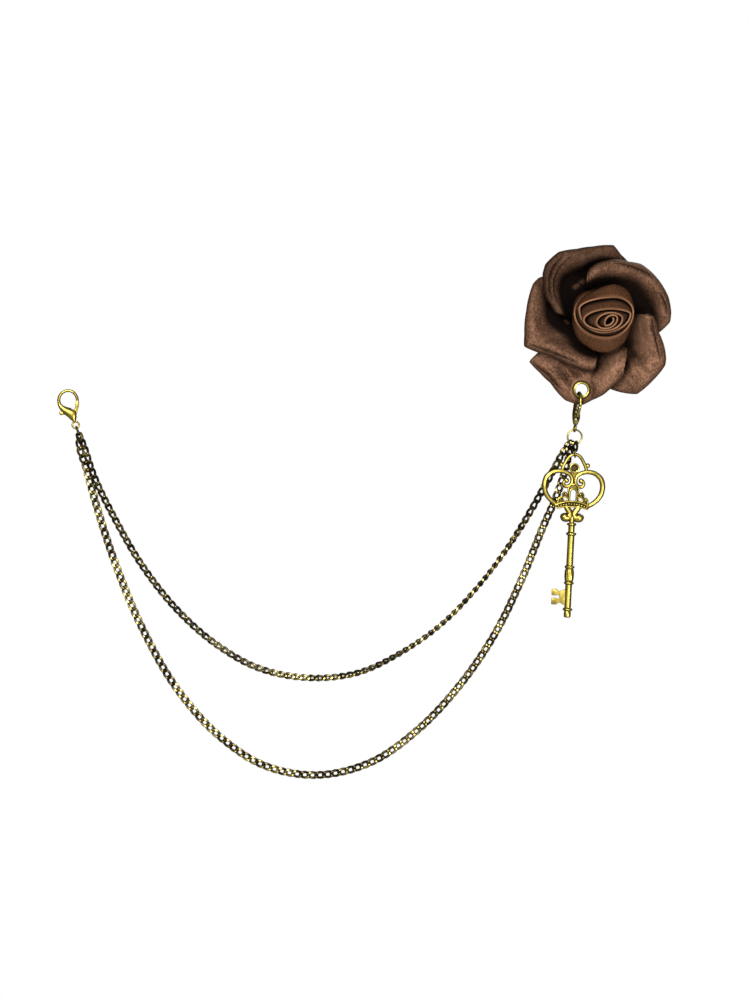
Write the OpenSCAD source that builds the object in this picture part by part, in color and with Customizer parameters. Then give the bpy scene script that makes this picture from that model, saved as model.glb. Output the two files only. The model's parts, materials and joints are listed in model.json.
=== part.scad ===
// Lapel chain: a satin rose brooch with an eyelet, a lobster clasp, a jump ring,
// a crown and heart key, and two curb chains that swag to a second lobster clasp.
// Millimetres. X runs along the swags, Z is up, the front faces -Y, and the origin
// is the middle of the brooch pin, on the back of the rose.

/* [Rose] */
// Reach of the petals from the middle of the rose
rose_r = 30; // [26:1:34]
// Height that the petal rims rise above their roots
petal_rise = 12; // [8:0.5:14]
// Thickness of the folded satin
satin_t = 1.1; // [1:0.1:1.4]
// Step in depth from a petal's tucked end to its lapping end
petal_step = 3; // [2.6:0.2:4]
// Radius of the rolled bud at its belly
bud_r = 11.6; // [10:0.2:12]
// Height of the rolled bud above the backing
bud_h = 16; // [12:0.5:20]
// Radius of the felt backing
backing_r = 15; // [12:0.5:18]
// Thickness of the felt backing
backing_t = 1.5; // [1:0.1:2.5]

/* [Brooch pin] */
// Length of the bar pin
pin_len = 24; // [18:1:28]
// Width of the pin's bar
pin_bar_w = 4; // [3:0.5:6]
// Thickness of the pin's bar
pin_bar_t = 0.8; // [0.6:0.1:1.2]
// Diameter of the pin wire
pin_wire_d = 0.8; // [0.6:0.1:1]
// Height of the pin wire above the bar
pin_stand = 2.6; // [2:0.2:4]

/* [Eyelet] */
// Diameter of the eyelet's hole
eyelet_hole = 4.6; // [4.4:0.1:5]
// Width of the eyelet's rolled flange
eyelet_flange = 1.2; // [1:0.1:1.4]
// Height of the flange above the satin
eyelet_lip = 0.5; // [0.4:0.1:0.6]

/* [Clasps] */
// Width of the hook loop of a lobster clasp
clasp_w = 8.1; // [7.6:0.1:9]
// Length from the middle of the hook loop to the middle of the clasp's eye
clasp_len = 10.2; // [9.8:0.1:11.5]
// Thickness of the clasp's body
clasp_t = 2.9; // [2.6:0.1:3.4]
// Diameter of the hook wire at the top of the loop
hook_wire_d = 1.1; // [1:0.05:1.2]
// Thickness of the sprung lever
lever_t = 1.1; // [0.9:0.1:1.3]
// Diameter of the lever's rivet
rivet_d = 0.8; // [0.7:0.1:1]
// Outer diameter of the clasp's eye
clasp_eye_d = 3.3; // [3.2:0.1:3.8]
// Wire of the clasp's eye
clasp_eye_wire = 0.5; // [0.45:0.05:0.6]
// Lean of the left clasp, its top to the left
left_lean = 16.6; // [12:0.2:20]
// Lean of the right clasp, its top to the right
right_lean = 7.6; // [4:0.2:10]
// Turn of the right clasp about its own length
right_turn = 12; // [0:1:15]

/* [Rings] */
// Outer diameter of the jump ring
jump_ring_d = 6.2; // [6:0.1:7]
// Wire of the jump ring
jump_ring_wire = 0.7; // [0.6:0.05:0.75]
// Outer diameter of the left connector ring
left_ring_d = 4.2; // [4.2:0.1:5]
// Wire of the left connector ring
left_ring_wire = 0.7; // [0.6:0.05:0.75]

/* [Chains] */
// Width of the curb links
link_w = 2.8; // [2.8:0.05:3]
// Wire of the curb links
link_wire = 0.66; // [0.62:0.01:0.68]
// Spacing of the links along the chain
link_pitch = 2.98; // [2.9:0.02:3.1]
// Twist of each link's ends about the chain
link_twist = 45; // [42:1:48]

/* [Key] */
// Width of the heart-shaped bow
bow_w = 24.1; // [22:0.1:27]
// Height of the bow, from the arch to the collar of the shaft
bow_h = 26.8; // [25:0.1:30]
// Wire of the heart at its thickest
heart_wire = 1.8; // [1.6:0.1:2]
// Wire of the arch at the top
arch_wire = 1.25; // [1.1:0.05:1.3]
// Length of the shaft, from its collar to the end of the knob
shaft_len = 36.6; // [32:0.2:42]
// Diameter of the plain shaft
shaft_d = 2.5; // [2.2:0.1:2.9]
// Reach of the bit from the middle of the shaft
bit_reach = 6.4; // [5.5:0.1:7.5]
// Thickness of the bit
bit_t = 1; // [0.8:0.1:1.4]
// Thickness of the crown plate
crown_t = 1.3; // [1:0.1:1.6]
// Lean of the key, its top to the right
key_lean = 2.8; // [0:0.2:5]

/* [Hidden] */
$fn = 48;

// Gap between two pieces that rest on each other
seat_gap = 0.15;
// Gap between two soft pieces
soft_gap = 0.2;
// Running clearance round a rivet
rivet_gap = 0.07;
// Clearance between two linked wires
link_gap = 0.12;

satin = "saddlebrown";
brass = "goldenrod";
old_brass = "darkgoldenrod";

// Plane of the left clasp, its ring and the start of the chains
left_y = -2;
// Middle of the left clasp's loop
left_hook = [-204.8, left_y, -29.8];

function lerp(a, b, t) = a + (b - a) * t;
function unit(v) = v / norm(v);
function polar(r, a) = [r * cos(a), r * sin(a)];
function signed_power(v, p) = sign(v) * pow(abs(v), p);
// Turn a vector about the Y axis, as rotate([0, a, 0]) does
function turn_y(v, a) = [v.x * cos(a) + v.z * sin(a), v.y, -v.x * sin(a) + v.z * cos(a)];
// Turn a vector about the Z axis, as rotate([0, 0, a]) does
function turn_z(v, a) = [v.x * cos(a) - v.y * sin(a), v.x * sin(a) + v.y * cos(a), v.z];

// Smooth curve through points, with tangents weighted by the spans' lengths
function span(p, i) = norm(p[i + 1] - p[i]);
function slope(p, i) = (p[i + 1] - p[i]) / span(p, i);
function tangent(p, i) =
    i == 0 ? slope(p, 0) :
    i == len(p) - 1 ? slope(p, i - 1) :
    (slope(p, i) * span(p, i - 1) + slope(p, i - 1) * span(p, i)) / (span(p, i) + span(p, i - 1));
function hermite(p, i, u) =
    (2 * u * u * u - 3 * u * u + 1) * p[i] + (3 * u * u - 2 * u * u * u) * p[i + 1]
    + (u * u * u - 2 * u * u + u) * span(p, i) * tangent(p, i)
    + (u * u * u - u * u) * span(p, i) * tangent(p, i + 1);
function curve(p, steps) = concat(
    [for (i = [0:len(p) - 2]) for (k = [0:steps - 1]) hermite(p, i, k / steps)],
    [p[len(p) - 1]]);
// Distance along a curve at each of its points
function distances(c) =
    [for (i = 0, s = 0; i < len(c); s = s + (i < len(c) - 1 ? span(c, i) : 0), i = i + 1) s];
// Tables that give X, Y and Z of a curve by the distance along it
function route_tables(c) =
    let (s = distances(c))
    [for (k = [0:2]) [for (i = [0:len(c) - 1]) [s[i], c[i][k]]]];
function route_length(tables) = tables[0][len(tables[0]) - 1][0];
function along(tables, s) = [for (k = [0:2]) lookup(s, tables[k])];

// Closed skin over rings of points that all have the same number of sides. Seen along
// the run of the rings, the points of a ring turn clockwise.
function skin_faces(rings, sides) = concat(
    [for (i = [0:rings - 2]) for (k = [0:sides - 1])
        let (a = i * sides + k, b = i * sides + (k + 1) % sides)
        each [[a, b + sides, b], [a, a + sides, b + sides]]],
    [[for (k = [0:sides - 1]) k]],
    [[for (k = [sides - 1:-1:0]) (rings - 1) * sides + k]]);
module skin(rings) {
    polyhedron([for (r = rings) each r], skin_faces(len(rings), len(rings[0])), convexity = 6);
}

// Petals: angle of the column in degrees, reach of the rim as a share of rose_r, and
// rise of the rim as a share of petal_rise. Each petal runs from its tucked end,
// under its neighbour, to its lapping end, whose edge comes back towards the bud.
petal_angle = 0;
petal_reach = 1;
petal_up = 2;
TOP = [
    [52, 0.74, 0.12], [64, 0.85, 0.18], [73, 0.91, 0.25], [80, 1.00, 0.30], [84, 0.99, 0.34],
    [96, 0.97, 0.43], [108, 0.98, 0.50], [121, 1.04, 0.56], [134, 1.02, 0.62],
    [141, 0.96, 0.66], [146, 0.89, 0.68], [158, 0.69, 0.66], [167, 0.57, 0.60],
    [172, 0.46, 0.50]];
RIGHT = [
    [-22, 0.68, 0.12], [-11, 0.76, 0.16], [0, 0.90, 0.26], [8, 0.92, 0.33], [20, 0.93, 0.43],
    [33, 0.92, 0.50], [46, 0.91, 0.57], [55, 0.90, 0.60], [64, 0.85, 0.64], [79, 0.81, 0.68],
    [94, 0.76, 0.70], [105, 0.68, 0.66], [113, 0.48, 0.52]];
LOWER_RIGHT = [
    [-92, 0.78, 0.12], [-81, 0.87, 0.15], [-63, 1.04, 0.28], [-48, 1.01, 0.40],
    [-34, 1.00, 0.50], [-30, 0.97, 0.53], [-20, 0.86, 0.58], [-11, 0.76, 0.62],
    [6, 0.67, 0.66], [12, 0.50, 0.50]];
BOTTOM = [
    [-168, 0.55, 0.10], [-154, 0.88, 0.12], [-151, 1.04, 0.13], [-140, 1.01, 0.15],
    [-129, 1.01, 0.17], [-114, 1.10, 0.19], [-106, 1.10, 0.20], [-102, 1.09, 0.22],
    [-96, 1.01, 0.28], [-88, 0.94, 0.38], [-81, 0.87, 0.47], [-69, 0.75, 0.56],
    [-57, 0.58, 0.58], [-46, 0.47, 0.50]];
LEFT = [
    [133, 0.85, 0.12], [144, 0.97, 0.18], [150, 0.99, 0.22], [161, 0.97, 0.32],
    [172, 0.96, 0.40], [189, 0.99, 0.50], [198, 1.03, 0.55], [206, 0.90, 0.60],
    [224, 0.75, 0.64], [241, 0.70, 0.64], [258, 0.66, 0.60], [264, 0.62, 0.54],
    [268, 0.46, 0.46]];
// Section of a petal from its root to its rolled rim: share of the way out, share of
// the rise, and the way that the satin's front faces, in degrees outwards
PETAL_SECTION = [
    [0.00, 0.00, -20], [0.28, 0.36, -25], [0.52, 0.74, -20], [0.72, 0.95, -5],
    [0.87, 1.00, 20], [0.97, 0.88, 55], [1.00, 0.68, 85]];
// Radius at which the petals' roots meet the backing, just inside the bud's rim
root_r = bud_r * 0.95 + soft_gap;

function petal_seat(t) = backing_t + soft_gap + satin_t + petal_step * t;
function petal_column(rows, i) =
    let (row = rows[i],
         first = rows[0][petal_angle],
         last = rows[len(rows) - 1][petal_angle],
         seat = petal_seat((row[petal_angle] - first) / (last - first)),
         wide = row[petal_reach] * rose_r - root_r,
         high = row[petal_up] * petal_rise,
         front = [for (p = PETAL_SECTION) [root_r + wide * p[0], seat + high * p[1]]],
         back = [for (k = [len(PETAL_SECTION) - 1:-1:0]) let (p = PETAL_SECTION[k])
             front[k] - satin_t * [sin(p[2]), cos(p[2])]])
    [for (p = concat(front, back))
        [p[0] * cos(row[petal_angle]), -p[1], p[0] * sin(row[petal_angle])]];
// Height of a petal's front above the back of the rose, at an angle and a radius
function column_of(rows, column) = [for (r = rows) [r[petal_angle], r[column]]];
function petal_front(rows, angle, radius) =
    let (first = rows[0][petal_angle],
         last = rows[len(rows) - 1][petal_angle],
         wide = lookup(angle, column_of(rows, petal_reach)) * rose_r - root_r,
         out = (radius - root_r) / wide)
    petal_seat((angle - first) / (last - first))
    + lookup(angle, column_of(rows, petal_up)) * petal_rise
      * lookup(out, [for (p = PETAL_SECTION) [p[0], p[1]]]);
module petal(rows) {
    skin([for (i = [0:len(rows) - 1]) petal_column(rows, i)]);
}

module rose_backing() {
    color("sienna")
        rotate([90, 0, 0]) cylinder(h = backing_t, r = backing_r);
}
module petal_top() { color(satin) petal(TOP); }
module petal_right() { color(satin) petal(RIGHT); }
module petal_lower_right() { color(satin) petal(LOWER_RIGHT); }
module petal_left() { color(satin) petal(LEFT); }

// The bottom petal is flat and doubled round the eyelet, whose middle lies at an angle
// and a share of rose_r
eyelet_angle = -105.4;
eyelet_reach = 0.904 * rose_r;
eyelet_x = eyelet_reach * cos(eyelet_angle);
eyelet_z = eyelet_reach * sin(eyelet_angle);
eyelet_y = satin_t / 2 - petal_front(BOTTOM, eyelet_angle, eyelet_reach);
eyelet_r = eyelet_hole / 2 + eyelet_flange;
// Wall of the eyelet's barrel
eyelet_wall = 0.35;
eyelet_barrel_r = eyelet_hole / 2 + eyelet_wall;
// Half of the eyelet's length through the satin, from flange to flange
eyelet_half = satin_t / 2 + soft_gap + eyelet_lip;
// Width of the pressed ring of satin round the flange
eyelet_press = 0.6;
module at_eyelet() { translate([eyelet_x, eyelet_y, eyelet_z]) rotate([90, 0, 0]) children(); }
module petal_bottom() {
    color(satin) difference() {
        union() {
            difference() {
                petal(BOTTOM);
                at_eyelet() cylinder(h = petal_rise, r = eyelet_r + soft_gap, center = true);
            }
            at_eyelet() cylinder(h = satin_t, r = eyelet_r + soft_gap + eyelet_press, center = true);
        }
        at_eyelet() cylinder(h = petal_rise, r = eyelet_barrel_r + seat_gap, center = true);
    }
}

module eyelet() {
    hole = eyelet_hole / 2;
    half = eyelet_half - eyelet_lip;
    side = [
        [eyelet_barrel_r, half],
        [eyelet_r, half],
        [eyelet_r - 0.1, half + eyelet_lip * 0.6],
        [hole + eyelet_flange * 0.6, half + eyelet_lip],
        [hole + eyelet_flange * 0.15, half + eyelet_lip],
        [hole, half + eyelet_lip * 0.7]];
    color(brass) at_eyelet() rotate_extrude() polygon(concat(
        side, [for (k = [len(side) - 1:-1:0]) [side[k][0], -side[k][1]]]));
}

// Bud: one satin strip wound from its outer end to the middle. Each row gives the
// turns from the outer end, the strip's half width across X and Z as shares of
// bud_r, its middle across X and Z as shares of bud_r, and the rim's height as a
// share of bud_h.
BUD_TURNS = [
    [0.0, 0.99, 0.72, 0.11, 0.13, 0.86],
    [1.0, 0.90, 0.64, 0.11, 0.11, 0.86],
    [1.5, 0.73, 0.53, 0.15, 0.08, 0.92],
    [2.0, 0.57, 0.43, 0.20, 0.05, 0.95],
    [2.5, 0.41, 0.33, 0.24, 0.02, 0.98],
    [3.2, 0.20, 0.19, 0.27, 0.00, 1.00]];
bud_start = 165;
bud_steps = 46;
bud_turns = 3.2;
// Belly of the outer turn: how far it stands outside its rim, across X and Z
bud_belly_x = 0.03 * bud_r;
bud_belly_z = 0.40 * bud_r;
// Share of the turns' width left at their base, for the outer and the inner turns
bud_base = 0.50;
bud_inner_base = 0.70;
function bud_value(turn, column) = lookup(turn, [for (row = BUD_TURNS) [row[0], row[column]]]);
function bud_ring(i) =
    let (turn = bud_turns * i / bud_steps,
         a = bud_start + 360 * turn,
         half_x = bud_value(turn, 1) * bud_r,
         half_z = bud_value(turn, 2) * bud_r,
         middle = [bud_value(turn, 3), bud_value(turn, 4)] * bud_r,
         top = bud_value(turn, 5) * bud_h,
         outer = max(0, 1 - turn),
         puff = [bud_belly_x * cos(a), bud_belly_z * sin(a)] * min(1, outer * 2),
         rim = middle + [half_x * cos(a), half_z * sin(a)],
         base = [half_x, half_z] * lerp(bud_inner_base, bud_base, outer),
         foot = middle * 0.5 + [base[0] * cos(a), base[1] * sin(a)],
         inward = -satin_t * [cos(a), sin(a)],
         floor_y = backing_t + soft_gap)
    [for (p = [
        concat(foot, 0), concat(lerp(foot, rim, 0.45) + puff * 0.4, top * 0.32),
        concat(rim + puff, top * 0.70), concat(rim + puff * 0.6, top * 0.88),
        concat(rim + inward * 0.15, top), concat(rim + inward * 0.85, top),
        concat(rim + puff * 0.55 + inward, top * 0.87), concat(rim + puff + inward, top * 0.70),
        concat(lerp(foot, rim, 0.45) + puff * 0.4 + inward, top * 0.32),
        concat(foot + inward, 0)])
        [p[0], -floor_y - p[2], p[1]]];
module bud() {
    color("sienna") skin([for (i = [bud_steps:-1:0]) bud_ring(i)]);
}

// Bar pin behind the rose: bar, two uprights, pin wire and catch, all one piece
module brooch_pin() {
    upright = pin_wire_d * 2;
    color("silver") union() {
        translate([-pin_len / 2, soft_gap / 2, -pin_bar_w / 2])
            cube([pin_len, pin_bar_t, pin_bar_w]);
        for (side = [-1, 1])
            translate([side * (pin_len / 2 - upright) - upright / 2, soft_gap / 2 + pin_bar_t / 2,
                       -upright / 2])
                cube([upright, pin_stand + pin_wire_d, upright]);
        translate([0, soft_gap / 2 + pin_bar_t + pin_stand, 0]) rotate([0, 90, 0])
            cylinder(h = pin_len - upright, d = pin_wire_d, center = true);
    }
}

// Lobster clasp, drawn with the middle of its hook loop at the origin, the gate
// towards +X and the eye below. Each row gives the middle of a section across X and
// Z and its half width as shares of clasp_w, its slant in degrees, and its share of
// the way from the hook wire's thickness to the body's.
CLASP = [
    [0.408, -0.175, 0.062, -40, 0.00],
    [0.428, -0.060, 0.064, -8, 0.00],
    [0.405, 0.140, 0.064, 19, 0.00],
    [0.310, 0.300, 0.064, 44, 0.00],
    [0.170, 0.395, 0.066, 67, 0.00],
    [0.000, 0.432, 0.068, 90, 0.00],
    [-0.185, 0.390, 0.070, 115, 0.00],
    [-0.335, 0.280, 0.072, 140, 0.03],
    [-0.430, 0.120, 0.076, 164, 0.06],
    [-0.455, -0.060, 0.086, 186, 0.14],
    [-0.420, -0.220, 0.115, 200, 0.30],
    [-0.330, -0.370, 0.165, 206, 0.55],
    [-0.190, -0.520, 0.240, 200, 0.85],
    [-0.060, -0.665, 0.295, 184, 1.00],
    [-0.025, -0.830, 0.215, 180, 0.95],
    [-0.010, -0.980, 0.120, 180, 0.60],
    [0.000, -1.090, 0.070, 180, 0.25]];
clasp_sides = 8;
clasp_body_len = 8.9 / 10.2 * clasp_len;
lever_slot = lever_t + 2 * seat_gap;
rivet_at = [0.02 * clasp_w, -0.69 * clasp_w];
hook_top = 0.432 * clasp_w;
eye_r = (clasp_eye_d - clasp_eye_wire) / 2;

// Heights below the loop follow clasp_len, and the others follow clasp_w
function clasp_z(share) = share < -0.7 ? -0.7 * clasp_w + (share + 0.7) / 0.39
    * (clasp_body_len - 0.7 * clasp_w) : share * clasp_w;
function clasp_ring(row) =
    let (across = [cos(row[3]), sin(row[3])] * row[2] * clasp_w,
         half_t = lerp(hook_wire_d, clasp_t, row[4]) / 2)
    [for (k = [0:clasp_sides - 1]) let (a = 360 * (k + 0.5) / clasp_sides,
            c = cos(a) / cos(180 / clasp_sides), s = sin(a) / cos(180 / clasp_sides))
        [row[0] * clasp_w + across[0] * c, half_t * s, clasp_z(row[1]) + across[1] * c]];

module clasp_body() {
    color(brass) {
        difference() {
            union() {
                skin([for (row = CLASP) clasp_ring(row)]);
                translate([0, 0, -clasp_len]) rotate([90, 0, 0])
                    rotate_extrude() translate([eye_r, 0]) circle(d = clasp_eye_wire);
            }
            translate([-0.62 * clasp_w, -lever_slot / 2, -0.87 * clasp_w])
                cube([1.1 * clasp_w, lever_slot, 0.42 * clasp_w]);
        }
        translate([rivet_at[0], 0, rivet_at[1]]) rotate([90, 0, 0])
            cylinder(h = clasp_t - 2 * seat_gap, d = rivet_d, center = true);
    }
}

// Lever: gate from the rivet up to the hook's end, and a thumb tab on the far side.
// Corners as shares of clasp_w.
LEVER = [
    [0.455, -0.245], [0.345, -0.150], [0.250, -0.400], [0.130, -0.570], [-0.060, -0.590],
    [-0.330, -0.530], [-0.480, -0.450], [-0.590, -0.440], [-0.580, -0.610], [-0.480, -0.610],
    [-0.330, -0.640], [-0.100, -0.770], [0.020, -0.810], [0.150, -0.790], [0.240, -0.720],
    [0.330, -0.560], [0.420, -0.400]];
module lever_body() {
    color(brass) difference() {
        rotate([90, 0, 0]) linear_extrude(height = lever_t, center = true)
            polygon([for (p = LEVER) p * clasp_w]);
        translate([rivet_at[0], 0, rivet_at[1]]) rotate([90, 0, 0])
            cylinder(h = lever_t * 2, d = rivet_d + 2 * rivet_gap, center = true);
    }
}

// The left clasp is seen face on
module at_left_clasp() { translate(left_hook) rotate([0, -left_lean, 0]) children(); }
function left_point(x, z) = left_hook + turn_y([x, 0, z], -left_lean);
module left_clasp() { at_left_clasp() clasp_body(); }
module left_lever() { at_left_clasp() lever_body(); }

// The right clasp hangs in the eyelet, its gate to the front. Its hook's bow drops by
// this much within the eyelet's length.
hook_drop = hook_top - sqrt(hook_top * hook_top - eyelet_half * eyelet_half);
hook_seat = [eyelet_x - 0.15 * eyelet_hole, eyelet_y,
             eyelet_z - 0.44 * eyelet_hole + hook_drop + seat_gap + hook_wire_d / 2];
function right_point(x, z) = hook_seat + turn_y(turn_z([x, 0, z - hook_top], right_turn - 90), right_lean);
module at_right_clasp() {
    translate(hook_seat) rotate([0, right_lean, 0]) rotate([0, 0, right_turn - 90])
        translate([0, 0, -hook_top]) children();
}
module right_clasp() { at_right_clasp() clasp_body(); }
module right_lever() { at_right_clasp() lever_body(); }

// Jump ring, face on, hung in the right clasp's eye
ring_r = (jump_ring_d - jump_ring_wire) / 2;
eye_hang = eye_r - (clasp_eye_wire + jump_ring_wire) / 2 - seat_gap;
ring_at = right_point(0, -clasp_len - eye_hang) - [0, 0, ring_r];
function ring_point(a) = ring_at + ring_r * [cos(a), 0, sin(a)];
module jump_ring() {
    color(old_brass) translate(ring_at) rotate([90, 0, 0])
        rotate_extrude() translate([ring_r, 0]) circle(d = jump_ring_wire);
}

// Connector ring, edge on, hung in the left clasp's eye
left_ring_r = (left_ring_d - left_ring_wire) / 2;
// Lean of the ring and of the chains that pull it to the right
left_ring_lean = 20;
left_eye_hang = eye_r - (clasp_eye_wire + left_ring_wire) / 2 - seat_gap;
left_ring_down = [sin(left_ring_lean), 0, -cos(left_ring_lean)];
left_ring_at = left_point(0, -clasp_len - left_eye_hang) + left_ring_r * left_ring_down;
// Point of the ring's wire, at an angle towards the back from its lowest point
function left_ring_point(a) =
    left_ring_at + left_ring_r * (cos(a) * left_ring_down + sin(a) * [0, 1, 0]);
module left_ring() {
    color(old_brass) translate(left_ring_at) rotate([0, 90 - left_ring_lean, 0])
        rotate_extrude() translate([left_ring_r, 0]) circle(d = left_ring_wire);
}

// Curb link: an oval whose ends are twisted about the chain
link_sides = 10;
wire_sides = 5;
link_a = (link_pitch + 0.12 + link_wire) / 2;
link_b = (link_w - link_wire) / 2;
link_squareness = 0.75;
function link_outline(t) = [
    link_a * signed_power(cos(t), link_squareness),
    link_b * signed_power(sin(t), link_squareness)];
// One link's points. The frame is its middle, then its unit vectors along the chain,
// across it and to the front.
function link_points(frame, roll, twist) =
    [for (k = [0:link_sides - 1])
        let (t = 360 * (k + 0.5) / link_sides,
             p = link_outline(t),
             out = unit([cos(t) / link_a, sin(t) / link_b]),
             turn = roll - twist * p[0] / link_a,
             across = cos(turn) * frame[2] + sin(turn) * frame[3],
             facing = cos(turn) * frame[3] - sin(turn) * frame[2],
             middle = frame[0] + p[0] * frame[1] + p[1] * across,
             outward = out[0] * frame[1] + out[1] * across)
        for (j = [0:wire_sides - 1]) let (a = 360 * j / wire_sides)
            middle + link_wire / 2 * (cos(a) * outward + sin(a) * facing)];
link_faces =
    [for (k = [0:link_sides - 1]) for (j = [0:wire_sides - 1])
        let (n = (k + 1) % link_sides, m = (j + 1) % wire_sides)
        each [[k * wire_sides + j, k * wire_sides + m, n * wire_sides + m],
              [k * wire_sides + j, n * wire_sides + m, n * wire_sides + j]]];
// Frame at a place, for a chain that runs along a direction with its face to -Y
function chain_frame(at, direction) =
    let (front = unit([0, -1, 0] + direction * direction.y))
    [at, direction, cross(front, direction), front];
module links(frames, rolls) {
    count = len(frames);
    each_link = link_sides * wire_sides;
    polyhedron(
        [for (i = [0:count - 1]) each link_points(frames[i], rolls[i], link_twist)],
        [for (i = [0:count - 1]) for (f = link_faces) [for (v = f) v + i * each_link]],
        convexity = 10);
}

// Chain routes, through the middles of their links. The ends follow the rings, and
// the points between were chosen by eye along the swags.
link_hold = (link_wire + left_ring_wire) / 2 + link_gap;
UPPER_POINTS = [
    [-195, -3.7, -58.5], [-186, -3.5, -77], [-176, -3.2, -94], [-162.5, -3, -111],
    [-148.5, -2.8, -123.5], [-132, -2.6, -133], [-112, -2.4, -137], [-93, -2.2, -135],
    [-76, -2, -127], [-60.5, -1.8, -116], [-47, -1.8, -102], [-34.5, -1.8, -85.5],
    [-25, -2.2, -70], [-19.5, -2.9, -60]];
LOWER_POINTS = [
    [-198, -0.5, -56], [-195, -0.5, -67], [-186.5, -0.6, -93.5], [-176, -0.8, -118.5],
    [-162, -1, -142.5], [-146, -1.2, -160], [-130, -1.4, -170.5], [-109, -1.6, -174.5],
    [-88, -1.8, -169.5], [-70, -1.8, -157], [-54, -1.8, -140], [-40, -1.8, -119.5],
    [-30, -1.8, -99], [-21, -1.8, -77], [-17, -1.8, -68], [-13.6, -2, -58]];
// Angles of the chains' first links on the left ring and of their last on the jump
// ring, and the ways that the chains run from there
upper_grip = -22;
lower_grip = 22;
upper_start = unit([0.40, -0.26, -0.88]);
lower_start = unit([-0.02, 0.34, -0.94]);
upper_hook = 229;
lower_hook = 254;
upper_out = unit([-0.52, 0.34, -0.78]);
lower_out = unit([-0.20, 0.66, -0.72]);
function chain_route(points, start, grip, hook, out) = concat(
    [left_ring_point(grip) + start * (link_a - link_hold),
     left_ring_point(grip) + start * (link_a - link_hold + link_pitch)],
    points,
    [ring_point(hook) + out * (link_a - link_hold + link_pitch),
     ring_point(hook) + out * (link_a - link_hold)]);

// Roll of the links about the chain by their share of its length
UPPER_ROLL = [
    [0, -45], [0.05, -20], [0.45, -15], [0.68, -20], [0.74, -55], [0.80, -60], [0.85, -25],
    [0.90, -5], [0.95, -10], [1, -45]];
function chain_links(points, roll_table) =
    let (tables = route_tables(curve(points, 8)),
         total = route_length(tables),
         count = round(total / link_pitch) + 1,
         pitch = total / (count - 1),
         places = [for (i = [0:count - 1]) along(tables, i * pitch)])
    [for (i = [0:count - 1])
        [chain_frame(places[i], unit(places[min(i + 1, count - 1)] - places[max(i - 1, 0)])),
         lookup(i / (count - 1), roll_table)]];
module chain_upper() {
    made = chain_links(
        chain_route(UPPER_POINTS, upper_start, upper_grip, upper_hook, upper_out), UPPER_ROLL);
    color(old_brass) links([for (m = made) m[0]], [for (m = made) m[1]]);
}

// The lower chain is a plain flat-sided tube of the links' width and depth, whose ends
// taper to an end link's edge
tube_rings = 44;
tube_sides = 8;
tube_depth = 0.8;
tube_taper = link_pitch * 2.5;
tube_end = 0.3;
module chain_lower() {
    points = chain_route(LOWER_POINTS, lower_start, lower_grip, lower_hook, lower_out);
    tables = route_tables(curve(points, 8));
    total = route_length(tables);
    color(old_brass) skin([for (i = [0:tube_rings])
        let (s = total * i / tube_rings,
             ahead = along(tables, min(s + 1, total)),
             behind = along(tables, max(s - 1, 0)),
             frame = chain_frame(along(tables, s), unit(ahead - behind)),
             half_w = link_w / 2 * min(1, lerp(tube_end, 1, min(s, total - s) / tube_taper)))
        [for (k = [0:tube_sides - 1]) let (a = 360 * (k + 0.5) / tube_sides)
            frame[0] + half_w * (cos(a) * frame[2] + tube_depth * sin(a) * frame[3])]]);
}

// The key's two links: a curb link in the jump ring, and a plain link round the arch
key_hook = 298;
key_link_lean = 15;
key_hold = (link_wire + jump_ring_wire) / 2 + link_gap;
key_down = [-sin(key_link_lean), 0, -cos(key_link_lean)];
upper_link_top = ring_point(key_hook) - key_hold * [cos(key_hook), 0, sin(key_hook)];
upper_link_at = upper_link_top + link_a * key_down;
module key_link_upper() {
    color(old_brass) links([chain_frame(upper_link_at, key_down)], [link_twist]);
}
link_seat = link_wire + link_gap;
lower_link_w = arch_wire + 4 * seat_gap + 2 * link_wire;
// Free play of the arch below the upper link
arch_play = 0.4;
lower_link_len = 3 * link_wire + link_gap + arch_play + arch_wire + seat_gap;
lower_link_top = upper_link_at + (link_a - link_seat) * key_down;
lower_link_at = lower_link_top - [0, 0, lower_link_len / 2 - link_wire / 2];
lower_link_low = lower_link_top - [0, 0, lower_link_len - link_wire];
module key_link_lower() {
    half = [lower_link_len - link_wire, lower_link_w - link_wire] / 2;
    turns = 16;
    color(old_brass) polyhedron(
        [for (k = [0:turns - 1]) let (t = 360 * (k + 0.5) / turns,
                out = unit([cos(t) / half[0], sin(t) / half[1]]),
                p = [half[0] * signed_power(cos(t), 0.85), half[1] * signed_power(sin(t), 0.85)])
            for (j = [0:5]) let (r = link_wire / 2 * polar(1, 60 * j))
                lower_link_at + [r[1], p[1] + r[0] * out[1], p[0] + r[0] * out[0]]],
        [for (k = [0:turns - 1]) for (j = [0:5]) let (n = (k + 1) % turns, m = (j + 1) % 6)
            [k * 6 + j, n * 6 + j, n * 6 + m, k * 6 + m]]);
}

// Key, drawn hanging from the middle of its arch's wire, which the lower link holds
key_at = lower_link_low + [0, 0, (link_wire + arch_wire) / 2 + seat_gap];
half_bow = bow_w / 2;
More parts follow.
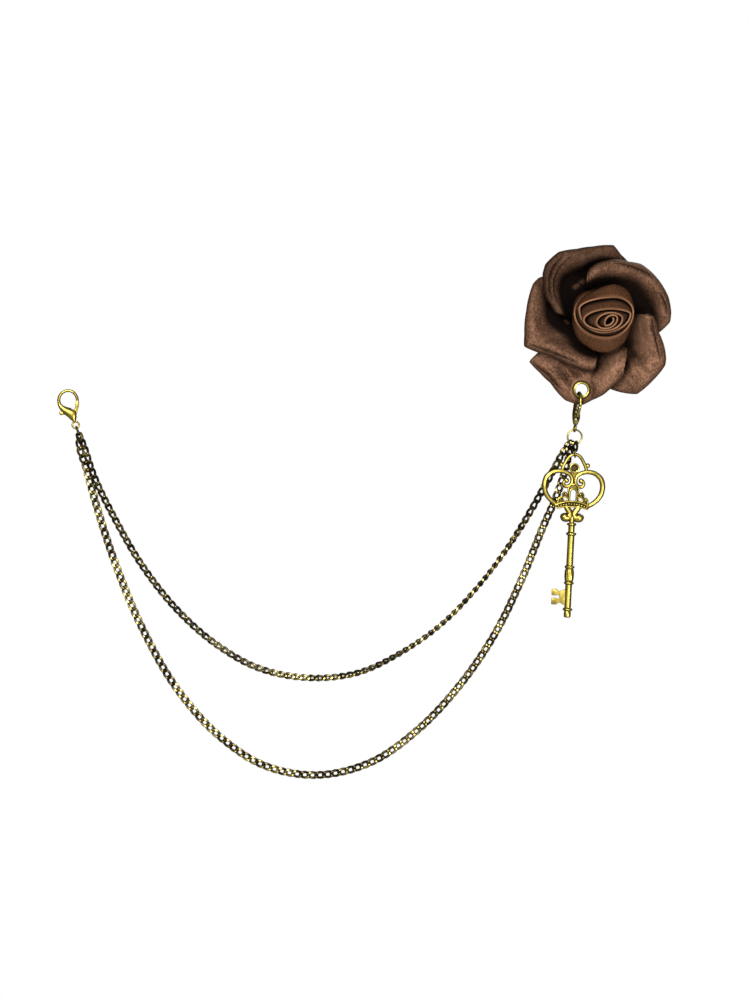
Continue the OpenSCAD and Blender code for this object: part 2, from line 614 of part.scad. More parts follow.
// Strands of the bow: X as a share of half the bow's width, Z as a share of its
// height, and the wire's share of heart_wire
HEART = [
    [0.195, -0.370, 0.30], [0.210, -0.372, 0.70], [0.240, -0.375, 0.85], [0.275, -0.378, 0.75],
    [0.300, -0.388, 0.60], [0.325, -0.425, 0.62], [0.265, -0.462, 0.68],
    [0.160, -0.458, 0.70], [0.080, -0.425, 0.72], [0.052, -0.368, 0.74], [0.100, -0.308, 0.76],
    [0.220, -0.268, 0.80], [0.430, -0.243, 0.86], [0.680, -0.262, 0.94], [0.865, -0.336, 1.00],
    [0.930, -0.440, 1.00], [0.890, -0.555, 0.98], [0.770, -0.640, 0.92], [0.580, -0.712, 0.84],
    [0.440, -0.745, 0.78]];
ARCH = [
    [-0.300, -0.250], [-0.290, -0.160], [-0.255, -0.095], [-0.185, -0.035], [-0.090, -0.004],
    [0.000, 0.000], [0.090, -0.004], [0.185, -0.035], [0.255, -0.095], [0.290, -0.160],
    [0.300, -0.250]];
SCROLL = [
    [0.215, -0.738, 0.85], [0.155, -0.800, 0.85], [0.085, -0.855, 0.95], [0.070, -0.905, 1.05],
    [0.120, -0.935, 1.20], [0.190, -0.935, 1.60], [0.250, -0.920, 1.75], [0.310, -0.900, 1.40],
    [0.350, -0.885, 0.60]];
bow_sides = 6;
function strand_ring(path, radii, i) =
    let (ahead = path[min(i + 1, len(path) - 1)],
         behind = path[max(i - 1, 0)],
         run = unit(ahead - behind))
    [for (k = [0:bow_sides - 1]) let (a = 360 * k / bow_sides)
        [path[i][0] - run[1] * cos(a) * radii[i], -sin(a) * radii[i],
         path[i][1] + run[0] * cos(a) * radii[i]]];
module strand(path, radii) {
    skin([for (i = [0:len(path) - 1]) strand_ring(path, radii, i)]);
}
function bow_path(rows, side) = [for (r = rows) [side * r[0] * half_bow, r[1] * bow_h]];

// Right half of the crown plate's outline from its top to its foot, in shares of half
// the bow's width and of the bow's height
CROWN_HALF = [
    [0.080, -0.432], [0.135, -0.462], [0.158, -0.510], [0.158, -0.580], [0.225, -0.555],
    [0.290, -0.545], [0.335, -0.575], [0.345, -0.625], [0.420, -0.620], [0.470, -0.650],
    [0.480, -0.720], [0.470, -0.765], [0.180, -0.728]];
band_r = 0.705 * half_bow;
band_mid = -0.700 * bow_h;
band_h = 1.8;
keyhole_r = 0.080 * half_bow;
keyhole_top = -0.545 * bow_h;
keyhole_foot = -0.680 * bow_h;
module crown() {
    right = [for (p = CROWN_HALF) [p[0] * half_bow, p[1] * bow_h]];
    left = [for (k = [len(right) - 1:-1:0]) [-right[k].x, right[k].y]];
    rotate([90, 0, 0]) linear_extrude(height = crown_t, center = true) difference() {
        polygon(concat(right, left));
        translate([0, keyhole_top]) circle(r = keyhole_r);
        translate([-keyhole_r, keyhole_foot]) square([2 * keyhole_r, keyhole_top - keyhole_foot]);
        for (side = [-1, 1])
            translate([side * 0.240 * half_bow, -0.645 * bow_h]) circle(r = 0.050 * half_bow);
    }
}
module crown_band() {
    translate([0, 0, band_mid - band_r]) rotate([90, 0, 0]) {
        rotate([0, 0, 48]) rotate_extrude(angle = 84) {
            translate([band_r - band_h / 2, -crown_t * 0.6]) square([band_h, crown_t * 1.2]);
            for (side = [-1, 1])
                translate([band_r + side * (band_h / 2 - 0.35), 0])
                    square([0.5, crown_t * 1.7], center = true);
        }
        for (i = [-5:5])
            rotate([0, 0, 90 + i * 7.4]) translate([band_r, 0, crown_t * 0.6])
                sphere(d = band_h * 0.42, $fn = 16);
    }
}

// Turned shaft: radius as a share of shaft_d, and depth below the collar as a share
// of shaft_len
SHAFT = [
    [0.40, 0.060], [0.40, -0.004], [0.62, -0.008], [0.62, -0.028], [0.42, -0.034],
    [0.42, -0.100], [0.70, -0.108], [0.80, -0.116], [0.80, -0.124], [0.70, -0.132],
    [0.50, -0.138], [0.50, -0.450], [0.68, -0.456], [0.77, -0.464], [0.77, -0.472],
    [0.66, -0.480], [0.66, -0.490], [0.74, -0.530], [0.74, -0.580], [0.66, -0.618],
    [0.66, -0.624], [0.77, -0.632], [0.77, -0.640], [0.68, -0.648], [0.48, -0.654],
    [0.48, -0.896], [0.66, -0.902], [0.75, -0.910], [0.75, -0.918], [0.64, -0.926],
    [0.52, -0.932], [0.54, -0.985], [0.48, -1.000]];
shaft_top = 0.62 - bow_h;
module shaft() {
    rotate_extrude() polygon(concat(
        [[0, shaft_top + SHAFT[0][1] * shaft_len]],
        [for (p = SHAFT) [p[0] * shaft_d, shaft_top + p[1] * shaft_len]],
        [[0, shaft_top - shaft_len]]));
}
// Bit: reach from the shaft's middle as a share of bit_reach, and depth as a share of
// shaft_len
BIT = [
    [-0.10, -0.705], [-0.28, -0.705], [-0.42, -0.720], [-0.56, -0.728], [-0.64, -0.712],
    [-0.72, -0.704], [-1.00, -0.706], [-1.00, -0.772], [-0.78, -0.776], [-0.70, -0.768],
    [-0.54, -0.772], [-0.54, -0.800], [-0.70, -0.804], [-0.78, -0.796], [-1.00, -0.800],
    [-1.00, -0.868], [-0.72, -0.870], [-0.64, -0.862], [-0.56, -0.846], [-0.42, -0.852],
    [-0.28, -0.868], [-0.10, -0.868]];
module bit() {
    rotate([90, 0, 0]) linear_extrude(height = bit_t, center = true)
        polygon([for (p = BIT) [p[0] * bit_reach, shaft_top + p[1] * shaft_len]]);
}
// Round setting under the arch, with its recess, and the plate that joins the curls
module bezel() {
    depth = arch_wire * 1.5;
    recess = arch_wire * 0.45;
    translate([0, 0, -0.205 * bow_h]) rotate([90, 0, 0]) difference() {
        cylinder(h = depth, d = heart_wire * 1.95, center = true);
        translate([0, 0, depth / 2 - recess]) cylinder(h = depth, d = heart_wire * 1.25);
    }
}
module web() {
    rotate([90, 0, 0]) linear_extrude(height = arch_wire * 0.6, center = true)
        polygon([[-0.20 * half_bow, -0.250 * bow_h], [0.20 * half_bow, -0.250 * bow_h],
                 [0.05 * half_bow, -0.350 * bow_h], [-0.05 * half_bow, -0.350 * bow_h]]);
}
module key() {
    color(brass) translate(key_at) rotate([0, key_lean, 0]) {
        bezel();
        web();
        strand(bow_path(ARCH, 1), [for (p = ARCH) arch_wire / 2]);
        for (side = [-1, 1]) {
            strand(bow_path(HEART, side), [for (p = HEART) p[2] * heart_wire / 2]);
            strand(bow_path(SCROLL, side), [for (p = SCROLL) p[2] * heart_wire / 2]);
            translate([side * 0.415 * half_bow, 0, -0.186 * bow_h])
                rotate([0, side * 90, 0]) sphere(d = heart_wire * 1.03, $fn = 24);
        }
        crown();
        crown_band();
        shaft();
        bit();
    }
}

rose_backing();
petal_top();
petal_right();
petal_lower_right();
petal_bottom();
petal_left();
bud();
brooch_pin();
eyelet();
right_clasp();
right_lever();
jump_ring();
key_link_upper();
key_link_lower();
key();
chain_upper();
chain_lower();
left_ring();
left_clasp();
left_lever();
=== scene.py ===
import json
import math

import bpy
from mathutils import Matrix, Vector, noise


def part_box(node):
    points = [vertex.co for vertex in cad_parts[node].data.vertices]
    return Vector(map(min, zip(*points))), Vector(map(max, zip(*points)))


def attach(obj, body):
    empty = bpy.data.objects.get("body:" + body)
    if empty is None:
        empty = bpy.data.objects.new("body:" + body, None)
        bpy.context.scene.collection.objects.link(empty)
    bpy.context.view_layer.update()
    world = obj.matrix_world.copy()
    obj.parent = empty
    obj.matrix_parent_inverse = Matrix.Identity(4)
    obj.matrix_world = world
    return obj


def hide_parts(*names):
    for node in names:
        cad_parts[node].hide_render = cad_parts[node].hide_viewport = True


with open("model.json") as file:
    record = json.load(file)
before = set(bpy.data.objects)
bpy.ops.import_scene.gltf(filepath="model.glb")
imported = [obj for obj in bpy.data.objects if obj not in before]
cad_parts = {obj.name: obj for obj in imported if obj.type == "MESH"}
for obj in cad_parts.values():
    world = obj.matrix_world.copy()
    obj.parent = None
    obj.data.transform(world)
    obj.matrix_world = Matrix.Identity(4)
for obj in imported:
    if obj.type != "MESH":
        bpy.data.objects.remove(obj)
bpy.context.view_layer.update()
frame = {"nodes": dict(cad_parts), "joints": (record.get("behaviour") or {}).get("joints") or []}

nodes = frame["nodes"]
hinges = {joint["name"]: joint for joint in frame["joints"]}
mm = 0.001


# Camera level and straight on, at the photograph's scale

photoFrame = {
    "pixelsPerMm": 2.6,  # scale of the photograph at the rose
    "roseX": 600,  # pixel that the origin falls on
    "roseY": 322,
    "middleX": 375,  # middle of the photograph
    "middleY": 500,
    "heightPixels": 1000,
    "distance": 1.5,
}


def addCamera(f):
    centreX = (f["middleX"] - f["roseX"]) / f["pixelsPerMm"] * mm
    centreZ = (f["roseY"] - f["middleY"]) / f["pixelsPerMm"] * mm
    seen = f["heightPixels"] / f["pixelsPerMm"] * mm
    depth = -5 * mm  # plane of the chains and the key
    bpy.ops.object.camera_add(
        location=(centreX, depth - f["distance"], centreZ), rotation=(math.pi / 2, 0, 0))
    camera = bpy.context.object
    camera.data.sensor_width = 36
    camera.data.lens = camera.data.sensor_width * f["distance"] / seen
    bpy.context.scene.camera = camera


addCamera(photoFrame)
bpy.context.scene.view_settings.view_transform = "Standard"
print("camera set")


# Small helpers for modelling


def deselectAll():
    for o in bpy.context.selected_objects:
        o.select_set(False)


def useOnly(o):
    deselectAll()
    o.select_set(True)
    bpy.context.view_layer.objects.active = o


def bakePlace(o):
    useOnly(o)
    bpy.ops.object.transform_apply(location=True, rotation=True, scale=True)
    return o


def toMesh(o):
    useOnly(o)
    bpy.ops.object.convert(target="MESH")
    return bpy.context.object


def named(name):
    # the object that the last operator made
    made = bpy.context.object
    made.name = name
    return made


def placeBy(o, matrix):
    o.matrix_world = matrix
    return bakePlace(o)


def copyAt(o, place):
    made = o.copy()
    made.data = o.data.copy()
    bpy.context.scene.collection.objects.link(made)
    return placeBy(made, place)


def applyModifier(o, kind, **settings):
    useOnly(o)
    modifier = o.modifiers.new(kind.lower(), kind)
    for name, value in settings.items():
        setattr(modifier, name, value)
    bpy.ops.object.modifier_apply(modifier=modifier.name)
    return o


def cleanMesh(o, distance=0.004 * mm):
    useOnly(o)
    bpy.ops.object.mode_set(mode="EDIT")
    bpy.ops.mesh.select_all(action="SELECT")
    bpy.ops.mesh.remove_doubles(threshold=distance)
    bpy.ops.mesh.normals_make_consistent(inside=False)
    bpy.ops.object.mode_set(mode="OBJECT")
    return o


def joinAll(objects, name):
    deselectAll()
    for o in objects:
        o.select_set(True)
    bpy.context.view_layer.objects.active = objects[0]
    bpy.ops.object.join()
    made = named(name)
    made.data.name = name
    return made


def roundEdges(o, width, segments=2, angle=30):
    return applyModifier(o, "BEVEL", width=width * mm, segments=segments, limit_method="ANGLE",
                         angle_limit=math.radians(angle))


def smooth(o, angle=None):
    useOnly(o)
    if angle is None:
        bpy.ops.object.shade_smooth()
    else:
        bpy.ops.object.shade_smooth_by_angle(angle=math.radians(angle))
    return o


def meshFrom(name, points, faces, layers=None):
    # layers: UV places of each vertex, by the layer's name
    mesh = bpy.data.meshes.new(name)
    mesh.from_pydata([tuple(p) for p in points], [], faces)
    for title, uvs in (layers or {}).items():
        layer = mesh.uv_layers.new(name=title)
        for loop in mesh.loops:
            layer.data[loop.index].uv = uvs[loop.vertex_index]
    o = bpy.data.objects.new(name, mesh)
    bpy.context.scene.collection.objects.link(o)
    return o


def gridFaces(rings, places, closedRings=False, closedPlaces=False):
    # quads between rings of places, each ring listed after the one before
    faces = []
    for k in range(rings if closedRings else rings - 1):
        here, there = k * places, (k + 1) % rings * places
        for i in range(places if closedPlaces else places - 1):
            n = (i + 1) % places
            faces.append((here + i, here + n, there + n, there + i))
    return faces


def finishPiece(o, material, body, replaced):
    o.data.materials.clear()
    o.data.materials.append(material)
    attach(o, body)
    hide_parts(replaced)
    return o


def boxOf(node):
    # middle and size of one of the frame's solids, in mm
    low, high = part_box(node)
    return (low + high) / 2 / mm, (high - low) / mm


def lerp(a, b, t):
    return a + (b - a) * t


def clamp(v, low=0.0, high=1.0):
    return max(low, min(high, v))


def easeStep(v):
    v = clamp(v)
    return v * v * (3 - 2 * v)


def bell(away, width):
    return math.exp(-((away / width) ** 2))


def polyCurve(points, steps):
    # smooth curve through the points, with tangents weighted by the spans' lengths
    spans = [(points[i + 1] - points[i]).length for i in range(len(points) - 1)]
    slopes = [(points[i + 1] - points[i]) / spans[i] for i in range(len(spans))]
    tangents = [slopes[0]]
    for i in range(1, len(spans)):
        whole = spans[i] + spans[i - 1]
        tangents.append((slopes[i] * spans[i - 1] + slopes[i - 1] * spans[i]) / whole)
    tangents.append(slopes[-1])
    made = []
    for i, length in enumerate(spans):
        for k in range(steps):
            u = k / steps
            made.append(
                (2 * u**3 - 3 * u**2 + 1) * points[i] + (3 * u**2 - 2 * u**3) * points[i + 1]
                + (u**3 - 2 * u**2 + u) * length * tangents[i]
                + (u**3 - u**2) * length * tangents[i + 1])
    made.append(points[-1])
    return made


def alongCurve(curve, count):
    # evenly spaced places on a curve
    lengths = [0.0]
    for a, b in zip(curve, curve[1:]):
        lengths.append(lengths[-1] + (b - a).length)
    made = []
    i = 0
    for k in range(count):
        s = lengths[-1] * k / (count - 1)
        while i < len(lengths) - 2 and lengths[i + 1] < s:
            i += 1
        share = (s - lengths[i]) / (lengths[i + 1] - lengths[i])
        made.append(curve[i].lerp(curve[i + 1], clamp(share)))
    return made


def tableValue(rows, place, column, key=0):
    # linear reading of one column of a table
    if place <= rows[0][key]:
        return rows[0][column]
    for a, b in zip(rows, rows[1:]):
        if place <= b[key]:
            return lerp(a[column], b[column], (place - a[key]) / (b[key] - a[key]))
    return rows[-1][column]


def smoothRows(rows, steps):
    # rows of numbers, with smooth rows put in between them
    vectors = [Vector(row) for row in rows]
    made = []
    for i in range(len(rows) - 1):
        before = vectors[max(i - 1, 0)]
        after = vectors[min(i + 2, len(rows) - 1)]
        a, b = vectors[i], vectors[i + 1]
        for k in range(steps):
            u = k / steps
            spline = 0.5 * (2 * a + (b - before) * u + (2 * before - 5 * a + 4 * b - after) * u**2
                            + (3 * a - before - 3 * b + after) * u**3)
            straight = a.lerp(b, u)
            made.append(straight.lerp(spline, 0.8))
    made.append(vectors[-1])
    return made


# Shader maths


class Wire:
    def __init__(self, tree, socket=None):
        self.tree = tree
        self.socket = socket

    def add(self, kind, settings=None, sockets=None, output=0):
        made = self.tree.nodes.new(kind)
        for name, value in (settings or {}).items():
            if name == "stops":
                ramp = made.color_ramp
                ramp.elements[0].position = value[0][0]
                ramp.elements[-1].position = value[-1][0]
                for place, shade in value[1:-1]:
                    ramp.elements.new(place)
                for element, (place, shade) in zip(ramp.elements, value):
                    element.color = (*shade, 1)
            else:
                setattr(made, name, value)
        for name, value in (sockets or {}).items():
            self.feed(made.inputs[name], value)
        return Wire(self.tree, made.outputs[output] if made.outputs else None)

    def feed(self, socket, value):
        if isinstance(value, Wire):
            self.tree.links.new(value.socket, socket)
        elif socket.type == "RGBA":
            socket.default_value = (*value, 1)
        else:
            socket.default_value = value

    def maths(self, operation, *values):
        return self.add("ShaderNodeMath", {"operation": operation}, dict(enumerate(values)))

    def __add__(self, other):
        return self.maths("ADD", self, other)

    def __radd__(self, other):
        return self.maths("ADD", other, self)

    def __sub__(self, other):
        return self.maths("SUBTRACT", self, other)

    def __rsub__(self, other):
        return self.maths("SUBTRACT", other, self)

    def __mul__(self, other):
        return self.maths("MULTIPLY", self, other)

    def __rmul__(self, other):
        return self.maths("MULTIPLY", other, self)

    def __pow__(self, other):
        return self.maths("POWER", self, other)

    def blend(self, low, high):
        # colour between low and high by this value
        return self.add("ShaderNodeMix", {"data_type": "RGBA"}, {0: self, 6: low, 7: high}, 2)

    def between(self, low, high, first=0.0, last=1.0):
        return self.add("ShaderNodeMapRange", {"clamp": True},
                        {0: self, 1: low, 2: high, 3: first, 4: last})

    def axis(self, number):
        return self.add("ShaderNodeSeparateXYZ", None, {0: self}, number)

    def cloud(self, scale, detail, rough, distortion=0.0):
        # cloudy value over this place
        return self.add("ShaderNodeTexNoise", None, {
            "Vector": self, "Scale": scale, "Detail": detail, "Roughness": rough,
            "Distortion": distortion}, 0)

    def openness(self, reach, samples=6):
        # 1 in the open and less in a hollow of this reach, in mm
        return self.add("ShaderNodeAmbientOcclusion", {"samples": samples},
                        {"Distance": reach * mm}, 1)

    def bump(self, strength, depth):
        # normal from this height, for a depth in mm
        return self.add("ShaderNodeBump", None, {
            "Strength": strength, "Distance": depth * mm, "Height": self})


def newMaterial(name, constants):
    material = bpy.data.materials.new(name)
    material.use_nodes = True
    tree = material.node_tree
    tree.nodes.clear()
    shader = tree.nodes.new("ShaderNodeBsdfPrincipled")
    output = tree.nodes.new("ShaderNodeOutputMaterial")
    tree.links.new(shader.outputs[0], output.inputs["Surface"])
    wire = Wire(tree)
    feedShader(wire, shader, constants)
    return material, wire, shader


def feedShader(wire, shader, values):
    for name, value in values.items():
        wire.feed(shader.inputs[name], value)


satinCloth = {
    "thread": 0.6,  # mm between threads
    "waveWide": 0.314,  # width of a wave texture's band at scale 1
    # scale, detail, roughness and distortion of each noise
    "patches": (110.0, 3.0, 0.5),
    "grain": (1400.0, 2.0, 0.6),
    "wrinkles": (380.0, 4.0, 0.6, 0.6),
    # shares of the two ways of threads; of patches, grain and weave in the tone; of weave and
    # grain in the height
    "weave": (0.6, 0.4),
    "tone": (0.38, 0.50, 0.12),
    "height": (0.22, 0.45),
    "rimHighlightFrom": 0.15,  # where the painted highlight along the cut edge starts and ends, in mm from the edge
    "rimHighlightTo": 0.65,
    "bumpDeep": 0.14,
}


def satinMaterial(name, s):
    t = satinCloth
    material, wire, shader = newMaterial(name, {
        "Specular IOR Level": s["gloss"], "Specular Tint": s["glossTint"]})
    place = wire.add("ShaderNodeTexCoord", output="Object")
    cloth = wire.add("ShaderNodeUVMap", {"uv_map": "cloth"})
    threads = []
    for turned in (0.0, math.pi / 2):
        way = wire.add("ShaderNodeMapping", None, {"Vector": cloth, "Rotation": (0, 0, turned)})
        threads.append(wire.add("ShaderNodeTexWave", {"bands_direction": "X"}, {
            "Vector": way, "Scale": t["waveWide"] / t["thread"], "Distortion": 0.8,
            "Detail": 1.0, "Detail Scale": 2.0}, 1))
    weave = threads[0] * t["weave"][0] + threads[1] * t["weave"][1]
    patches, grain = place.cloud(*t["patches"]), place.cloud(*t["grain"])
    # X of this layer is the share of painted light, and Y is the strength of a painted glint
    light = wire.add("ShaderNodeUVMap", {"uv_map": "hollow"})
    # painted shade: the light share also falls in hollows that the occlusion finds
    lit = wire.openness(s["hollowMm"], 12).between(*s["hollow"]) ** s["hollowPower"]
    lit = wire.maths("MAXIMUM", lit * light.axis(0), light.axis(1))
    patchy, grainy, woven = t["tone"]
    tone = patches.between(0.3, 0.7) * patchy + grain.between(0.38, 0.62) * grainy + weave * woven
    # painted glints also lighten the cloth's tone
    tone = tone + light.axis(1) * 0.5
    # painted highlight along the satin's cut edge, in the rim colour
    if "rim" in s:
        rim = cloth.axis(1).between(t["rimHighlightFrom"], t["rimHighlightTo"], s["rim"], 0.0)
        colour = rim.blend((tone + rim).blend(s["dark"], s["light"]), s["rimHighlight"])
    else:
        colour = tone.blend(s["dark"], s["light"])
    woven, grainy = t["height"]
    height = weave * woven + grain * grainy + place.cloud(*t["wrinkles"]) * s["wrinkle"]
    # the colour falls to the shade colour where little light is left: painted shade in hollows, beside
    # folds and at turned edges
    feedShader(wire, shader, {
        "Base Color": lit.blend(s["shade"], colour),
        "Metallic": lit * s["sheen"],
        "Roughness": s["rough"] + (grain - 0.5) * 0.2 + (1 - lit) * 0.50,
        "Normal": height.bump(s["bump"], t["bumpDeep"])})
    return material


def feltMaterial(name, s):
    material, wire, shader = newMaterial(name, {"Specular IOR Level": 0.1})
    fluff = wire.add("ShaderNodeTexCoord", output="Object").cloud(900.0, 5.0, 0.7, 1.2)
    colour = fluff.between(0.3, 0.7).blend(s["dark"], s["light"])
    # painted shade: the felt darkens to its shade colour in hollows
    feedShader(wire, shader, {
        "Base Color": wire.openness(s["hollowMm"]).between(0.4, 0.9).blend(s["shade"], colour),
        "Roughness": 0.85 + fluff * 0.1,
        "Normal": fluff.bump(0.7, 0.25)})
    return material


def metalMaterial(name, s):
    material, wire, shader = newMaterial(name, {"Specular IOR Level": 0.2})
    place = wire.add("ShaderNodeTexCoord", output="Object")
    cloud = place.cloud(260.0, 4.0, 0.6)
    speck = place.cloud(1600.0, 3.0, 0.6)
    clear = wire.openness(s["reach"]) + (cloud - 0.5) * 0.22 + (speck - 0.5) * 0.04
    # hollows keep their patina, and the sides that turn away from the front and back are darkened too:
    # painted shade at the wires' edges
    facing = wire.maths("ABSOLUTE", wire.add("ShaderNodeTexCoord", output="Normal").axis(1))
    bright = clear.between(*s["dirt"]) * facing.between(*s["side"], 1.0)
    if "relief" in s:
        # raised faces are bright, and what lies near the middle plane is darkened: patina in recesses
        # and painted shade on the sides of the wires
        middle, low, high = s["relief"]
        away = wire.maths("ABSOLUTE", place.axis(1) - middle * mm)
        bright = bright * away.between(low * mm, high * mm, 0.05, 1.0)
    gold = cloud.between(*s["worn"]).blend(s["deep"], s["bright"])
    feedShader(wire, shader, {
        "Base Color": bright.blend(s["patinaAndShade"], gold),
        "Metallic": 0.55 + bright * 0.45,
        "Roughness": s["rough"] + 0.25 - bright * 0.25 + (speck - 0.5) * 0.06,
        "Normal": (speck * 0.4 + cloud * 0.6).bump(0.2, 0.03)})
    return material


eyeMiddle = boxOf("eyelet")[0]
roseSatin = satinMaterial("roseSatin", {
    "dark": (0.038, 0.016, 0.008), "light": (0.230, 0.118, 0.070), "shade": (0.002, 0.001, 0.001),
    "rough": 0.44, "sheen": 0.35, "gloss": 0.10, "glossTint": (1.0, 0.72, 0.55), "bump": 0.8,
    "wrinkle": 1.2, "hollowMm": 7, "hollow": (0.38, 0.92), "hollowPower": 1.4})
budSatin = satinMaterial("budSatin", {
    "dark": (0.034, 0.0125, 0.005), "light": (0.092, 0.040, 0.019), "shade": (0.002, 0.001, 0.001),
    "rough": 0.44, "sheen": 0.25, "gloss": 0.15, "glossTint": (1.0, 0.70, 0.50), "bump": 0.6,
    "wrinkle": 1.0, "hollowMm": 5, "hollow": (0.38, 0.90), "hollowPower": 1.6,
    "rim": 0.62, "rimHighlight": (0.225, 0.108, 0.054)})
brownFelt = feltMaterial("brownFelt", {
    "dark": (0.030, 0.014, 0.008), "light": (0.075, 0.036, 0.020),
    "shade": (0.001, 0.0006, 0.0004), "hollowMm": 6})

# Metals. dirt: openness where dirt ends and metal begins. side: how far a face turns to the
# front, and the least that stays bright; the sides that turn away get painted shade. worn: patches
# of deep and bright metal. relief: Y of the middle plane, and the heights above it where the metal
# starts and ends to brighten; below them it keeps patina and painted shade.
keyBrass = metalMaterial("keyBrass", {
    "bright": (0.57, 0.44, 0.085), "deep": (0.33, 0.25, 0.045), "patinaAndShade": (0.022, 0.015, 0.004),
    "reach": 1.0, "rough": 0.27, "dirt": (0.50, 0.88), "side": (0.60, 0.97, 0.04),
    "worn": (0.35, 0.65), "relief": (hinges["key_swing"]["pos_m"][1] / mm, 0.22, 0.76)})
claspBrass = metalMaterial("claspBrass", {
    "bright": (0.54, 0.42, 0.070), "deep": (0.22, 0.165, 0.028), "patinaAndShade": (0.012, 0.008, 0.002),
    "reach": 1.2, "rough": 0.22, "dirt": (0.56, 0.94), "side": (0.66, 0.99, 0.02),
    "worn": (0.40, 0.66)})
ringBrass = metalMaterial("ringBrass", {
    "bright": (0.50, 0.39, 0.080), "deep": (0.22, 0.165, 0.03), "patinaAndShade": (0.014, 0.009, 0.003),
    "reach": 1.4, "rough": 0.22, "dirt": (0.56, 0.96), "side": (0.50, 0.96, 0.08),
    "worn": (0.38, 0.66)})
eyeletBrass = metalMaterial("eyeletBrass", {
    "bright": (0.58, 0.46, 0.09), "deep": (0.30, 0.22, 0.04), "patinaAndShade": (0.02, 0.013, 0.004),
    "reach": 1.3, "rough": 0.2, "dirt": (0.58, 0.94), "side": (0.30, 0.85, 0.15),
    "worn": (0.35, 0.65), "relief": (eyeMiddle.y, 1.00, 1.21)})
chainBronze = metalMaterial("chainBronze", {
    "bright": (0.56, 0.44, 0.13), "deep": (0.050, 0.036, 0.011), "patinaAndShade": (0.004, 0.003, 0.001),
    "reach": 1.1, "rough": 0.20, "dirt": (0.62, 0.96), "side": (0.60, 0.98, 0.04),
    "worn": (0.46, 0.66)})
pinSteel = metalMaterial("pinSteel", {
    "bright": (0.72, 0.71, 0.69), "deep": (0.55, 0.54, 0.52), "patinaAndShade": (0.10, 0.09, 0.08),
    "reach": 1.0, "rough": 0.28, "dirt": (0.1, 0.6), "side": (0.0, 0.3, 0.7),
    "worn": (0.35, 0.65)})
print("materials made")


# Chains of curb links, each an oval of wire whose ends are twisted about the chain

chain = {
    "linkWidth": 2.8,
    "wire": 0.66,
    "drawnWire": 1.06,  # looks thicker than the clear wire of the frame
    "ground": 0.93,  # faces are ground flat at this Y, in mm from the middle
    "pitch": 2.98,
    "twist": 45,
    "play": 0.12,  # clearance between two linked wires
    "squareness": 0.75,
    "corners": 14,
}
leftRing = {"wire": 0.7, "lean": 20}
# grip: place on the left ring, in degrees from its lowest point. hook: place on the jump ring.
# start and out: ways of the first and last links. roll: share of the chain, degrees about it.
chainRoutes = {
    "upper": {
        "points": [
            (-195, -3.7, -58.5), (-186, -3.5, -77), (-176, -3.2, -94), (-162.5, -3, -111),
            (-148.5, -2.8, -123.5), (-132, -2.6, -133), (-112, -2.4, -137), (-93, -2.2, -135),
            (-76, -2, -127), (-60.5, -1.8, -116), (-47, -1.8, -102), (-34.5, -1.8, -85.5),
            (-25, -2.2, -70), (-19.5, -2.9, -60)],
        "start": (0.40, -0.26, -0.88), "grip": -22,
        "out": (-0.52, 0.34, -0.78), "hook": 229,
        "roll": [(0, -45), (0.05, -40), (0.40, -46), (0.52, -54), (0.60, -66), (0.66, -78),
                 (0.80, -80), (0.86, -58), (0.90, -35), (0.95, -25), (1, -45)]},
    "lower": {
        "points": [
            (-198, -0.5, -56), (-195, -0.5, -67), (-186.5, -0.6, -93.5), (-176, -0.8, -118.5),
            (-162, -1, -142.5), (-146, -1.2, -160), (-130, -1.4, -170.5), (-109, -1.6, -174.5),
            (-88, -1.8, -169.5), (-70, -1.8, -157), (-54, -1.8, -140), (-40, -1.8, -119.5),
            (-30, -1.8, -99), (-21, -1.8, -77), (-17, -1.8, -68), (-13.6, -2, -58)],
        "start": (-0.02, 0.34, -0.94), "grip": 22,
        "out": (-0.20, 0.66, -0.72), "hook": 254,
        "roll": [(0, -45), (0.04, -5), (0.5, 0), (0.93, 0), (0.965, -25), (1, -45)]},
}
linkHalfLength = (chain["pitch"] + chain["play"] + chain["wire"]) / 2
linkHalfWidth = (chain["linkWidth"] - chain["wire"]) / 2


def squareWave(v, power):
    return math.copysign(abs(v) ** power, v)


def wireAlong(edges, diameter, name):
    # round wire along an object's edges
    useOnly(edges)
    bpy.ops.object.convert(target="CURVE")
    wire = named(name)
    wire.data.bevel_depth = diameter / 2 * mm
    wire.data.bevel_resolution = 1
    return cleanMesh(toMesh(wire))


def curbLink(name):
    # one link along X with its face to -Y, from a ring of edges that becomes round wire
    deselectAll()
    bpy.ops.mesh.primitive_circle_add(vertices=chain["corners"], radius=1)
    ring = bpy.context.object
    for i, v in enumerate(ring.data.vertices):
        t = 2 * math.pi * (i + 0.5) / chain["corners"]
        x = linkHalfLength * squareWave(math.cos(t), chain["squareness"])
        w = linkHalfWidth * squareWave(math.sin(t), chain["squareness"])
        turn = math.radians(-chain["twist"] * x / linkHalfLength)
        v.co = Vector((x, -w * math.sin(turn), w * math.cos(turn))) * mm
    link = wireAlong(ring, chain["drawnWire"], name)
    for v in link.data.vertices:
        v.co.y = clamp(v.co.y, -chain["ground"] * mm, chain["ground"] * mm)
    return smooth(link, 35)


def linkPlace(at, way, roll):
    front = (Vector((0, -1, 0)) + way * way.y).normalized()
    across = front.cross(way)
    turn = math.radians(roll)
    side = across * math.cos(turn) + front * math.sin(turn)
    face = front * math.cos(turn) - across * math.sin(turn)
    return Matrix(((way.x, -face.x, side.x, at.x), (way.y, -face.y, side.y, at.y),
                   (way.z, -face.z, side.z, at.z), (0, 0, 0, 1)))


